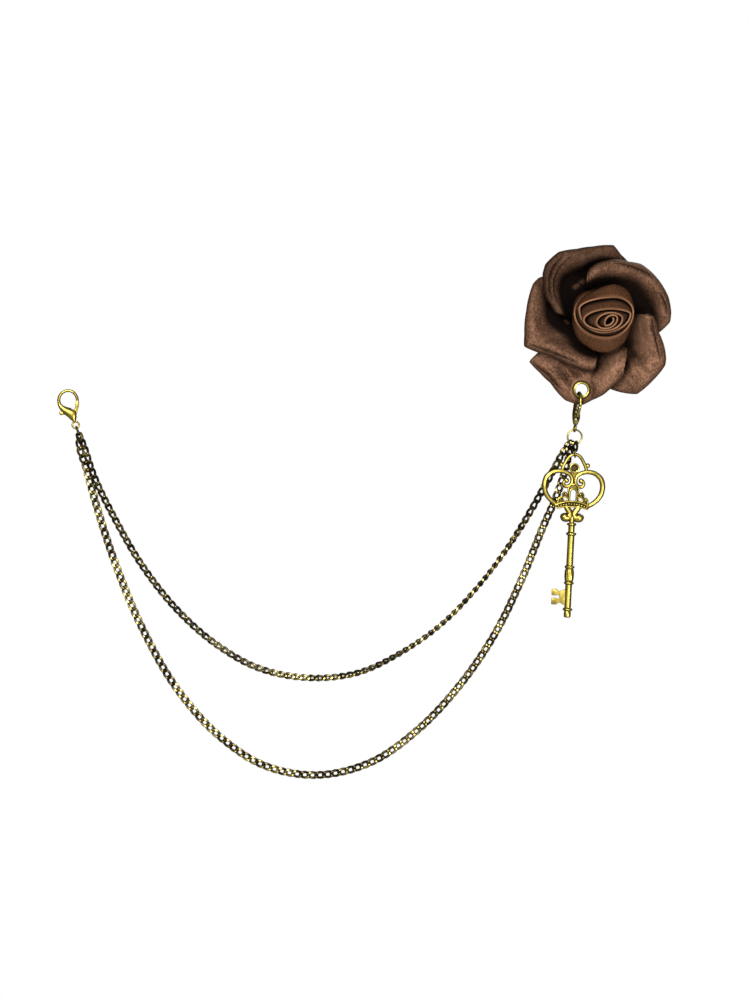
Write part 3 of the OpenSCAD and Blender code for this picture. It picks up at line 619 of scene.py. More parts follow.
def leftRingPoint(degrees):
    a, lean = math.radians(degrees), math.radians(leftRing["lean"])
    middle, size = boxOf("left_ring")
    down = Vector((math.sin(lean), 0, -math.cos(lean)))
    radius = (size.y - leftRing["wire"]) / 2
    return middle + radius * (math.cos(a) * down + math.sin(a) * Vector((0, 1, 0)))


def jumpRingPoint(degrees):
    a = math.radians(degrees)
    middle, size = boxOf("jump_ring")
    return middle + (size.x - size.y) / 2 * Vector((math.cos(a), 0, math.sin(a)))


def chainPlaces(route):
    # place of every link, from the left ring to the jump ring
    start, out = Vector(route["start"]).normalized(), Vector(route["out"]).normalized()
    hold = linkHalfLength - (chain["wire"] + leftRing["wire"]) / 2 - chain["play"]
    first = leftRingPoint(route["grip"]) + start * hold
    last = jumpRingPoint(route["hook"]) + out * hold
    turns = [first, first + start * chain["pitch"]] + [Vector(p) for p in route["points"]]
    curve = polyCurve(turns + [last + out * chain["pitch"], last], 8)
    total = sum((b - a).length for a, b in zip(curve, curve[1:]))
    count = round(total / chain["pitch"]) + 1
    places = alongCurve(curve, count)
    made = []
    for i, at in enumerate(places):
        way = (places[min(i + 1, count - 1)] - places[max(i - 1, 0)]).normalized()
        made.append(linkPlace(at * mm, way, tableValue(route["roll"], i / (count - 1), 1)))
    return made


for side, route in chainRoutes.items():
    link = curbLink("link")
    links = [copyAt(link, place) for place in chainPlaces(route)]
    bpy.data.objects.remove(link)
    finishPiece(joinAll(links, side + "Chain"), chainBronze, "root", "chain_" + side)
    print(side, "chain made:", len(links), "links")


# Turned and drawn metal


def turnedPiece(name, profile, sides, foot=0.0):
    # rows of radius and height, extruded ring by ring from a circle
    deselectAll()
    bpy.ops.mesh.primitive_circle_add(
        vertices=sides, radius=profile[0][0] * mm, fill_type="NGON",
        location=(0, 0, (foot + profile[0][1]) * mm))
    made = named(name)
    bpy.ops.object.mode_set(mode="EDIT")
    bpy.ops.mesh.select_all(action="SELECT")
    for (lastRadius, lastHeight), (radius, height) in zip(profile, profile[1:]):
        bpy.ops.mesh.extrude_region_move(
            TRANSFORM_OT_translate={"value": (0, 0, (height - lastHeight) * mm)})
        share = radius / lastRadius
        bpy.ops.transform.resize(
            value=(share, share, 1), center_override=(0, 0, (foot + height) * mm))
    bpy.ops.object.mode_set(mode="OBJECT")
    return cleanMesh(bakePlace(made))


def wireStrand(name, points, radii, sides=3, closed=False):
    # a path whose wire swells and thins by the radius of each point
    deselectAll()
    bpy.ops.curve.primitive_nurbs_path_add()
    strand = named(name)
    data = strand.data
    data.splines.clear()
    spline = data.splines.new("POLY")
    spline.points.add(len(points) - 1)
    for point, place, radius in zip(spline.points, points, radii):
        point.co = (*(Vector(place) * mm), 1)
        point.radius = radius
    spline.use_cyclic_u = closed
    data.dimensions = "3D"
    data.twist_mode = "MINIMUM"
    data.bevel_depth = mm
    data.bevel_resolution = sides
    data.use_fill_caps = not closed
    return cleanMesh(toMesh(strand))


def ringWire(name, at, radius, wire, segments=48):
    deselectAll()
    bpy.ops.mesh.primitive_torus_add(
        location=Vector(at) * mm, rotation=(math.pi / 2, 0, 0), major_radius=radius * mm,
        minor_radius=wire / 2 * mm, major_segments=segments, minor_segments=14)
    return bakePlace(named(name))


def ballAt(name, at, radius, squash=1.0):
    deselectAll()
    bpy.ops.mesh.primitive_uv_sphere_add(
        segments=20, ring_count=12, radius=radius * mm, location=Vector(at) * mm)
    made = named(name)
    made.scale = (1, squash, 1)
    return bakePlace(made)


def cutPlate(name, outline, thickness):
    # flat plate with this outline in X and Z, its middle at Y = 0
    deselectAll()
    bpy.ops.mesh.primitive_circle_add(vertices=len(outline), radius=mm, fill_type="NGON")
    made = named(name)
    for v, (x, z) in zip(made.data.vertices, outline):
        v.co = (x * mm, thickness / 2 * mm, z * mm)
    bpy.ops.object.mode_set(mode="EDIT")
    bpy.ops.mesh.select_all(action="SELECT")
    bpy.ops.mesh.extrude_region_move(TRANSFORM_OT_translate={"value": (0, -thickness * mm, 0)})
    bpy.ops.object.mode_set(mode="OBJECT")
    return cleanMesh(made)


upToFront = Matrix.Rotation(math.pi / 2, 4, "X")  # turns what points up to face the front


def drill(o, cutter):
    applyModifier(o, "BOOLEAN", operation="DIFFERENCE", object=cutter, solver="EXACT")
    bpy.data.objects.remove(cutter)


def boxCutter(low, high):
    deselectAll()
    middle = [(a + b) / 2 * mm for a, b in zip(low, high)]
    bpy.ops.mesh.primitive_cube_add(size=1, location=middle)
    made = bpy.context.object
    made.scale = [(b - a) * mm for a, b in zip(low, high)]
    return bakePlace(made)


def roundCutter(x, z, radius, length):
    deselectAll()
    bpy.ops.mesh.primitive_cylinder_add(
        vertices=32, radius=radius * mm, depth=length * mm, location=(x * mm, 0, z * mm),
        rotation=(math.pi / 2, 0, 0))
    return bakePlace(bpy.context.object)


def strandBy(name, rows, half, high, wire, side=1):
    # a strand from rows of X, Z and wire as shares
    made = smoothRows(rows, 5)
    points = [(side * row[0] * half, 0, row[1] * high) for row in made]
    return wireStrand(name, points, [row[2] * wire / 2 for row in made], 4)


# Key: heart bow with curls, crown, collar scrolls, turned shaft and bit

keyShape = {
    "bowWide": 24.1,
    "bowHigh": 26.8,
    "heartWire": 2.05,
    "archWire": 1.32,
    "shaftLong": 36.6,
    "shaftWide": 2.5,
    "bitReach": 6.4,
    "bitThick": 1.0,
    "crownThick": 1.3,
    # the crown's plate, and how far its rims stand in front, as shares of its thickness
    "crownPlate": 0.5,
    "crownFront": 0.38,
    "crownRim": 0.34,
    "webShare": 0.6,  # the web's thickness as a share of the arch's wire
    "lean": 2.8,
    "collarTop": 0.62,  # the shaft starts this far above the bow's foot
    # reach in degrees; plate, rimFront and beadFront as shares of the crown's thickness
    "band": {"radius": 12.3, "middle": -0.712, "reach": 30, "high": 2.0, "drawn": 0.75,
             "plate": 0.6, "rim": 0.34, "rimFront": 0.5, "beads": 12, "bead": 0.44,
             "beadFront": 0.62, "beadReach": 0.86, "beadRise": 0.18},
    # X as a share of half the bow's width, Z as a share of its height, then wire or radius
    "balls": [(0.420, -0.152, 0.46), (0.235, -0.377, 0.50)],
    "web": [(-0.20, -0.250), (0.20, -0.250), (0.05, -0.350), (-0.05, -0.350)],
    "keyhole": {"half": 0.080, "top": -0.545, "foot": -0.680, "rimOut": 1.5, "rim": 0.26},
    "leaf": {"x": 0.240, "z": -0.645, "hole": 0.050, "ring": 0.075, "wire": 0.45,
             "beads": [(0.235, -0.572, 0.42), (0.405, -0.648, 0.42), (0.300, -0.700, 0.30)]},
    # rows of radius and height, as shares of the bezel's radius and its depth
    "bezel": {"radius": 1.95, "deep": 0.99, "z": -0.194, "rows": [
        (0.60, -1.00), (0.92, -1.00), (1.00, -0.80), (1.00, 0.75), (0.95, 0.95), (0.84, 1.02),
        (0.72, 0.95), (0.66, 0.70), (0.64, -0.10), (0.20, -0.14)]},
    "heart": [
        (0.195, -0.370, 0.30), (0.210, -0.372, 0.70), (0.240, -0.375, 0.85),
        (0.275, -0.378, 0.75), (0.300, -0.388, 0.60), (0.325, -0.425, 0.62),
        (0.265, -0.462, 0.68), (0.160, -0.458, 0.70), (0.080, -0.425, 0.72),
        (0.052, -0.368, 0.74), (0.100, -0.308, 0.76), (0.220, -0.268, 0.80),
        (0.430, -0.243, 0.86), (0.680, -0.262, 0.94), (0.865, -0.336, 1.00),
        (0.930, -0.440, 1.00), (0.890, -0.555, 0.98), (0.770, -0.640, 0.92),
        (0.580, -0.712, 0.84), (0.440, -0.745, 0.78)],
    "arch": [
        (-0.395, -0.245, 1), (-0.360, -0.178, 1), (-0.285, -0.108, 1), (-0.200, -0.046, 1),
        (-0.105, -0.010, 1), (0.000, 0.000, 1), (0.105, -0.010, 1), (0.200, -0.046, 1),
        (0.285, -0.108, 1), (0.360, -0.178, 1), (0.395, -0.245, 1)],
    "scroll": [
        (0.200, -0.738, 1.00), (0.170, -0.775, 1.10), (0.105, -0.815, 1.20),
        (0.070, -0.855, 1.25), (0.090, -0.893, 1.35), (0.150, -0.912, 1.55),
        (0.220, -0.908, 1.70), (0.285, -0.898, 1.55), (0.340, -0.890, 1.05),
        (0.375, -0.885, 0.40)],
    "crown": [
        (0.060, -0.422), (0.115, -0.436), (0.152, -0.470), (0.165, -0.515), (0.165, -0.585),
        (0.225, -0.555),
        (0.290, -0.545), (0.335, -0.575), (0.345, -0.625), (0.420, -0.620), (0.470, -0.650),
        (0.480, -0.720), (0.470, -0.765), (0.180, -0.728)],
    # radius as a share of the shaft's width, depth below the collar as a share of its length
    "shaft": [
        (0.40, 0.060), (0.40, -0.004), (0.60, -0.006), (0.72, -0.012), (0.72, -0.026),
        (0.60, -0.032), (0.50, -0.036), (0.49, -0.100), (0.62, -0.104), (0.76, -0.111),
        (0.80, -0.120), (0.76, -0.129), (0.62, -0.136), (0.53, -0.140), (0.52, -0.300),
        (0.53, -0.450), (0.64, -0.454), (0.74, -0.460), (0.78, -0.468), (0.74, -0.476),
        (0.62, -0.482), (0.60, -0.488)],
    "shaftEnd": [
        (0.60, -0.620), (0.64, -0.624), (0.74, -0.629), (0.78, -0.637), (0.74, -0.645),
        (0.60, -0.651), (0.52, -0.655), (0.51, -0.780), (0.52, -0.896), (0.62, -0.900),
        (0.72, -0.906), (0.76, -0.914), (0.72, -0.922), (0.60, -0.928), (0.50, -0.933),
        (0.54, -0.950), (0.54, -0.982), (0.50, -0.994), (0.36, -1.000)],
    "barrel": [
        (0.58, -0.486), (0.66, -0.494), (0.72, -0.515), (0.755, -0.550), (0.755, -0.570),
        (0.72, -0.598), (0.66, -0.616), (0.58, -0.624)],
    "flutes": 10,
    "fluteDeep": 0.13,
    "fluteTurn": 0.10,
    "bit": [
        (-0.10, -0.705), (-0.28, -0.705), (-0.42, -0.720), (-0.56, -0.728), (-0.64, -0.712),
        (-0.72, -0.704), (-1.00, -0.706), (-1.00, -0.772), (-0.78, -0.776), (-0.70, -0.768),
        (-0.54, -0.772), (-0.54, -0.800), (-0.70, -0.804), (-0.78, -0.796), (-1.00, -0.800),
        (-1.00, -0.868), (-0.72, -0.870), (-0.64, -0.862), (-0.56, -0.846), (-0.42, -0.852),
        (-0.28, -0.868), (-0.10, -0.868)],
}


def keyBow(k, half, high):
    parts = []
    for side in (-1, 1):
        for name in ("heart", "scroll"):
            parts.append(strandBy(name, k[name], half, high, k["heartWire"], side))
        for x, z, radius in k["balls"]:
            parts.append(ballAt("ball", (side * x * half, 0, z * high), k["heartWire"] * radius))
    parts.append(strandBy("arch", k["arch"], half, high, k["archWire"]))
    bezel = k["bezel"]
    rows = [(r * bezel["radius"], z * bezel["deep"]) for r, z in bezel["rows"]]
    parts.append(placeBy(turnedPiece("bezel", rows, 40),
                         Matrix.Translation((0, 0, bezel["z"] * high * mm)) @ upToFront))
    web = [(x * half, z * high) for x, z in k["web"]]
    return parts + [cutPlate("web", web, k["archWire"] * k["webShare"])]


def keyCrown(k, half, high):
    thick, hole, leaf = k["crownThick"], k["keyhole"], k["leaf"]
    right = [(x * half, z * high) for x, z in k["crown"]]
    left = [(-x, z) for x, z in reversed(right)]
    plate = cutPlate("crown", right + left, thick * k["crownPlate"])
    wide, top, foot = hole["half"] * half, hole["top"] * high, hole["foot"] * high
    drill(plate, roundCutter(0, top, wide, 4))
    drill(plate, boxCutter((-wide, -2, foot), (wide, 2, top)))
    for side in (-1, 1):
        drill(plate, roundCutter(side * leaf["x"] * half, leaf["z"] * high, leaf["hole"] * half, 4))
    roundEdges(plate, 0.1)
    front = -thick * k["crownFront"]
    rim = [(x, front, z) for x, z in left[:-1] + right[:-1]]
    wide *= hole["rimOut"]
    arch = [(wide * math.sin(a), front, top + wide * math.cos(a))
            for a in [math.radians(d) for d in range(-90, 91, 15)]]
    arch = [(-wide, front, foot)] + arch + [(wide, front, foot)]
    parts = [plate, wireStrand("crownRim", rim, [k["crownRim"]] * len(rim), 2),
             wireStrand("keyholeRim", arch, [hole["rim"]] * len(arch), 2)]
    for side in (-1, 1):
        parts.append(ringWire("leafRing", (side * leaf["x"] * half, front, leaf["z"] * high),
                              leaf["ring"] * half, leaf["wire"], 20))
        for x, z, radius in leaf["beads"]:
            parts.append(ballAt("leafBead", (side * x * half, front, z * high), radius, 0.8))
    return parts


def arcPlace(radius, degrees, low):
    # place on an arc about X = 0, Z = low, this many degrees from its top
    a = math.radians(90 + degrees)
    return radius * math.cos(a), low + radius * math.sin(a)


def keyBand(k, high):
    # beaded band at the crown's foot, whose lower edge draws up towards the band's ends
    band, thick = k["band"], k["crownThick"]
    radius, reach, half = band["radius"], band["reach"], band["high"] / 2
    low = band["middle"] * high - radius
    shares = [i / 12 for i in range(-12, 13)]
    upper = [arcPlace(radius + half, reach * s, low) for s in shares]
    lower = [arcPlace(radius - half * (1 - band["drawn"] * s**2), reach * s, low) for s in shares]
    parts = [cutPlate("band", lower + upper[::-1], thick * band["plate"])]
    for places in (upper, lower):
        points = [(x, -thick * band["rimFront"], z) for x, z in places]
        parts.append(wireStrand("bandRim", points, [band["rim"]] * len(points), 3))
    for i in range(band["beads"]):
        share = (2 * i / (band["beads"] - 1) - 1) * band["beadReach"]
        x, z = arcPlace(radius + band["beadRise"] * share**2, reach * share, low)
        parts.append(ballAt("bandBead", (x, -thick * band["beadFront"], z), band["bead"]))
    return parts


def keyShaft(k, top):
    wide, long = k["shaftWide"], k["shaftLong"]
    parts = []
    for name, sides in (("shaft", 28), ("shaftEnd", 28), ("barrel", k["flutes"] * 4)):
        rows = [(r * wide, z * long) for r, z in k[name]]
        parts.append(turnedPiece(name, rows, sides, top))
    for v in parts[-1].data.vertices:
        a = math.atan2(v.co.y, v.co.x) + (v.co.z / mm - top) * k["fluteTurn"]
        out = clamp(math.hypot(v.co.x, v.co.y) / (wide * 0.6 * mm))
        dent = k["fluteDeep"] * (0.5 - 0.5 * math.cos(a * k["flutes"])) * out
        v.co.x *= 1 - dent
        v.co.y *= 1 - dent
    bit = cutPlate("bit", [(x * k["bitReach"], top + z * long) for x, z in k["bit"]], k["bitThick"])
    return parts + [roundEdges(bit, 0.14)]


def addKey(k):
    half, high = k["bowWide"] / 2, k["bowHigh"]
    parts = keyBow(k, half, high) + keyCrown(k, half, high) + keyBand(k, high)
    key = smooth(joinAll(parts + keyShaft(k, k["collarTop"] - high), "heartKey"), 50)
    pivot = Matrix.Translation(hinges["key_swing"]["pos_m"])
    placeBy(key, pivot @ Matrix.Rotation(math.radians(k["lean"]), 4, "Y"))
    finishPiece(key, keyBrass, "key_pendant", "key")


addKey(keyShape)
print("key made")


# Lobster clasps and their levers

claspShape = {
    "wide": 8.1,
    "long": 10.2,
    "thick": 2.9,
    "hookWire": 1.25,
    "lever": 1.1,
    "leverPlay": 0.15,
    "leverEdge": 0.22,
    "bodyEdge": 0.07,
    "rivet": 0.8,
    "rivetPlay": 0.07,
    "rivetSunk": 0.1,  # below the body's faces
    "eye": 3.3,
    "eyeWire": 0.72,
    "leftLean": 16.6,
    "rightLean": 7.6,
    "rightTurn": 12,
    # middle across X and Z and half width as shares, slant, share of the body's thickness
    "rows": [
        (0.408, -0.175, 0.070, -40, 0.00), (0.428, -0.060, 0.072, -8, 0.00),
        (0.405, 0.140, 0.072, 19, 0.00), (0.310, 0.300, 0.072, 44, 0.00),
        (0.170, 0.395, 0.066, 67, 0.00), (0.000, 0.432, 0.068, 90, 0.00),
        (-0.185, 0.390, 0.070, 115, 0.00), (-0.335, 0.280, 0.072, 140, 0.03),
        (-0.430, 0.120, 0.076, 164, 0.06), (-0.455, -0.060, 0.086, 186, 0.14),
        (-0.420, -0.220, 0.115, 200, 0.30), (-0.330, -0.370, 0.165, 206, 0.55),
        (-0.190, -0.520, 0.240, 200, 0.85), (-0.060, -0.665, 0.295, 184, 1.00),
        (-0.025, -0.830, 0.215, 180, 0.95), (-0.010, -0.980, 0.120, 180, 0.60),
        (0.000, -1.090, 0.070, 180, 0.25)],
    "sides": 20,
    "squareness": 0.85,
    "leverOutline": [
        (0.475, -0.230), (0.325, -0.130), (0.235, -0.400), (0.130, -0.570), (-0.060, -0.590),
        (-0.330, -0.530), (-0.480, -0.450), (-0.590, -0.440), (-0.580, -0.610),
        (-0.480, -0.610), (-0.330, -0.640), (-0.100, -0.770), (0.020, -0.810),
        (0.150, -0.790), (0.240, -0.720), (0.330, -0.560), (0.420, -0.400)],
    "rivetAt": (0.02, -0.69),
    "slot": ((-0.62, -0.87), (0.48, -0.45)),
    "bodyLong": 8.9,  # without its eye
    "bellyFrom": -0.7,  # the rows between these two shares are drawn out to that length
    "bellyTo": -1.09,
}


def claspHeight(c, share):
    start = c["bellyFrom"] * c["wide"]
    if share >= c["bellyFrom"]:
        return share * c["wide"]
    part = (share - c["bellyFrom"]) / (c["bellyTo"] - c["bellyFrom"])
    return lerp(start, -c["bodyLong"], part)


def claspBody(c, rivetX, rivetZ):
    # a tube whose sections come from the rows, drawn out ring by ring
    rows, sides, wide = smoothRows(c["rows"], 5), c["sides"], c["wide"]
    points = []
    for x, z, halfWide, slant, thick in rows:
        slant = math.radians(slant)
        halfThick = lerp(c["hookWire"], c["thick"], thick) / 2
        for i in range(sides):
            a = 2 * math.pi * (i + 0.5) / sides
            reach = halfWide * wide * math.cos(a)
            points.append(Vector((
                x * wide + math.cos(slant) * reach,
                halfThick * squareWave(math.sin(a), c["squareness"]),
                claspHeight(c, z) + math.sin(slant) * reach)) * mm)
    faces = gridFaces(len(rows), sides, closedPlaces=True)
    faces += [tuple(range(sides)), tuple(reversed(range(len(points) - sides, len(points))))]
    body = cleanMesh(meshFrom("claspBody", points, faces))
    (leftX, footZ), (rightX, topZ) = c["slot"]
    slot = c["lever"] / 2 + c["leverPlay"]
    drill(body, boxCutter((leftX * wide, -slot, footZ * wide), (rightX * wide, slot, topZ * wide)))
    roundEdges(body, c["bodyEdge"], angle=50)
    eye = ringWire("claspEye", (0, 0, -c["long"]), (c["eye"] - c["eyeWire"]) / 2, c["eyeWire"])
    end = c["thick"] / 2 - c["rivetSunk"]
    rivet = turnedPiece("rivet", [(c["rivet"] / 2, -end), (c["rivet"] / 2, end)], 20)
    placeBy(rivet, Matrix.Translation((rivetX * mm, 0, rivetZ * mm)) @ upToFront)
    return smooth(joinAll([body, eye, rivet], "clasp"), 40)


def claspLever(c, rivetX, rivetZ):
    outline = [(x * c["wide"], z * c["wide"]) for x, z in c["leverOutline"]]
    lever = cutPlate("lever", outline, c["lever"])
    drill(lever, roundCutter(rivetX, rivetZ, c["rivet"] / 2 + c["rivetPlay"], 4))
    return smooth(roundEdges(lever, c["leverEdge"], 3, 20), 40)


def addClasps(c):
    rivetX, rivetZ = (share * c["wide"] for share in c["rivetAt"])
    models = {"clasp": claspBody(c, rivetX, rivetZ), "lever": claspLever(c, rivetX, rivetZ)}
    toRivet = Matrix.Translation((-rivetX * mm, 0, -rivetZ * mm))
    lean, turned = Matrix.Rotation(math.radians(c["rightLean"]), 4, "Y"), c["rightTurn"] - 90
    turns = {"left": Matrix.Rotation(math.radians(-c["leftLean"]), 4, "Y"),
             "right": lean @ Matrix.Rotation(math.radians(turned), 4, "Z")}
    for side, brass in (("left", claspBrass), ("right", ringBrass)):
        pivot = Matrix.Translation(hinges[side + "_gate_hinge"]["pos_m"])
        for word, body in (("clasp", "root"), ("lever", side + "_gate")):
            made = copyAt(models[word], pivot @ turns[side] @ toRivet)
            made.name = side + word.capitalize()
            finishPiece(made, brass, body, side + "_" + word)
    for model in models.values():
        bpy.data.objects.remove(model)


addClasps(claspShape)
print("clasps made")


# Eyelet with rolled flanges

eyeletShape = {
    "hole": 4.6,
    "halfLong": 1.25,
    # the roll from the hole outwards: distance from the hole's edge, height as a share
    "roll": [(0.02, 0.55), (0.08, 0.84), (0.20, 0.96), (0.36, 1.00), (0.54, 0.96), (0.80, 0.85),
             (1.10, 0.73), (1.20, 0.648), (1.16, 0.60), (0.35, 0.60)],
    "sides": 48,
}


def addEyelet(e):
    roll = [(e["hole"] / 2 + away, e["halfLong"] * share) for away, share in e["roll"]]
    profile = roll[::-1] + [(radius, -height) for radius, height in roll]
    points = []
    for radius, height in profile:
        for i in range(e["sides"]):
            a = 2 * math.pi * i / e["sides"]
            away = Vector((radius * math.cos(a), height, radius * math.sin(a)))
            points.append((eyeMiddle + away) * mm)
    faces = gridFaces(len(profile), e["sides"], True, True)
    eyelet = smooth(cleanMesh(meshFrom("roseEyelet", points, faces)), 60)
    finishPiece(eyelet, eyeletBrass, "root", "eyelet")


addEyelet(eyeletShape)
print("eyelet made")


# Key links

keyLinks = {"lean": 15, "squareness": 0.85, "places": 24}


def addKeyLinks(k):
    lean = math.radians(k["lean"])
    link = curbLink("keyLinkUpper")
    placeBy(link, linkPlace(boxOf("key_link_upper")[0] * mm,
                            Vector((-math.sin(lean), 0, -math.cos(lean))), chain["twist"]))
    middle, size = boxOf("key_link_lower")
    oval = []
    for i in range(k["places"]):
        t = 2 * math.pi * i / k["places"]
        oval.append(middle + Vector((
            0, (size.y - chain["wire"]) / 2 * squareWave(math.cos(t), k["squareness"]),
            (size.z - chain["wire"]) / 2 * squareWave(math.sin(t), k["squareness"]))))
    lower = wireStrand("keyLinkLower", oval, [chain["wire"] / 2] * k["places"], closed=True)
    finishPiece(link, chainBronze, "root", "key_link_upper")
    finishPiece(smooth(lower), chainBronze, "root", "key_link_lower")


addKeyLinks(keyLinks)
print("key links made")


# Satin petals. Each is a folded strip: a floor by the bud, a wall that rises from it, and a
# broad rim that rolls over. Pleats are edges where one fold of satin lies on the next.

petalShape = {
    "reach": 30,
    "rise": 12,
    "satin": 1.0,
    "step": 3.4,  # how far the lapping end stands in front of the tucked one
    "root": 11.22,
    "seat": 1.7,  # front of the felt
    "columns": 180,
    "rows": 76,
    # share of the way from the hollow to the rim, share of the rise
    "roll": [
        (0.00, 0.06), (0.14, 0.28), (0.28, 0.62), (0.42, 0.86), (0.56, 0.98), (0.70, 1.01),
        (0.82, 0.98), (0.91, 0.90), (0.97, 0.78), (1.00, 0.62)],
    # ripples: height in mm, then the scales and the weight of the broad, fine and tight ones
    "wrinkle": 0.2,
    "broad": (0.16, 3.0),
    "fine": (0.16, 4.0, 1.8),
    "tight": (1.1, 0.6),
    "smoothEnd": 0.08,  # share of the columns that have no ripples
    "edgeFrom": 0.84,  # share of the wall where the turned edge starts to darken
    "edgeLight": 0.40,
    "clothRound": 22,  # mm of cloth for each radian round the rose
    "clothOut": 26,  # and from the root to the rim
    "pressed": 3.7,  # radius that the eyelet presses flat
    "pressedEdge": 1.8,
    "underFlange": 0.66,
    "edge": 0.3,  # rounding of the satin's cut edges
}
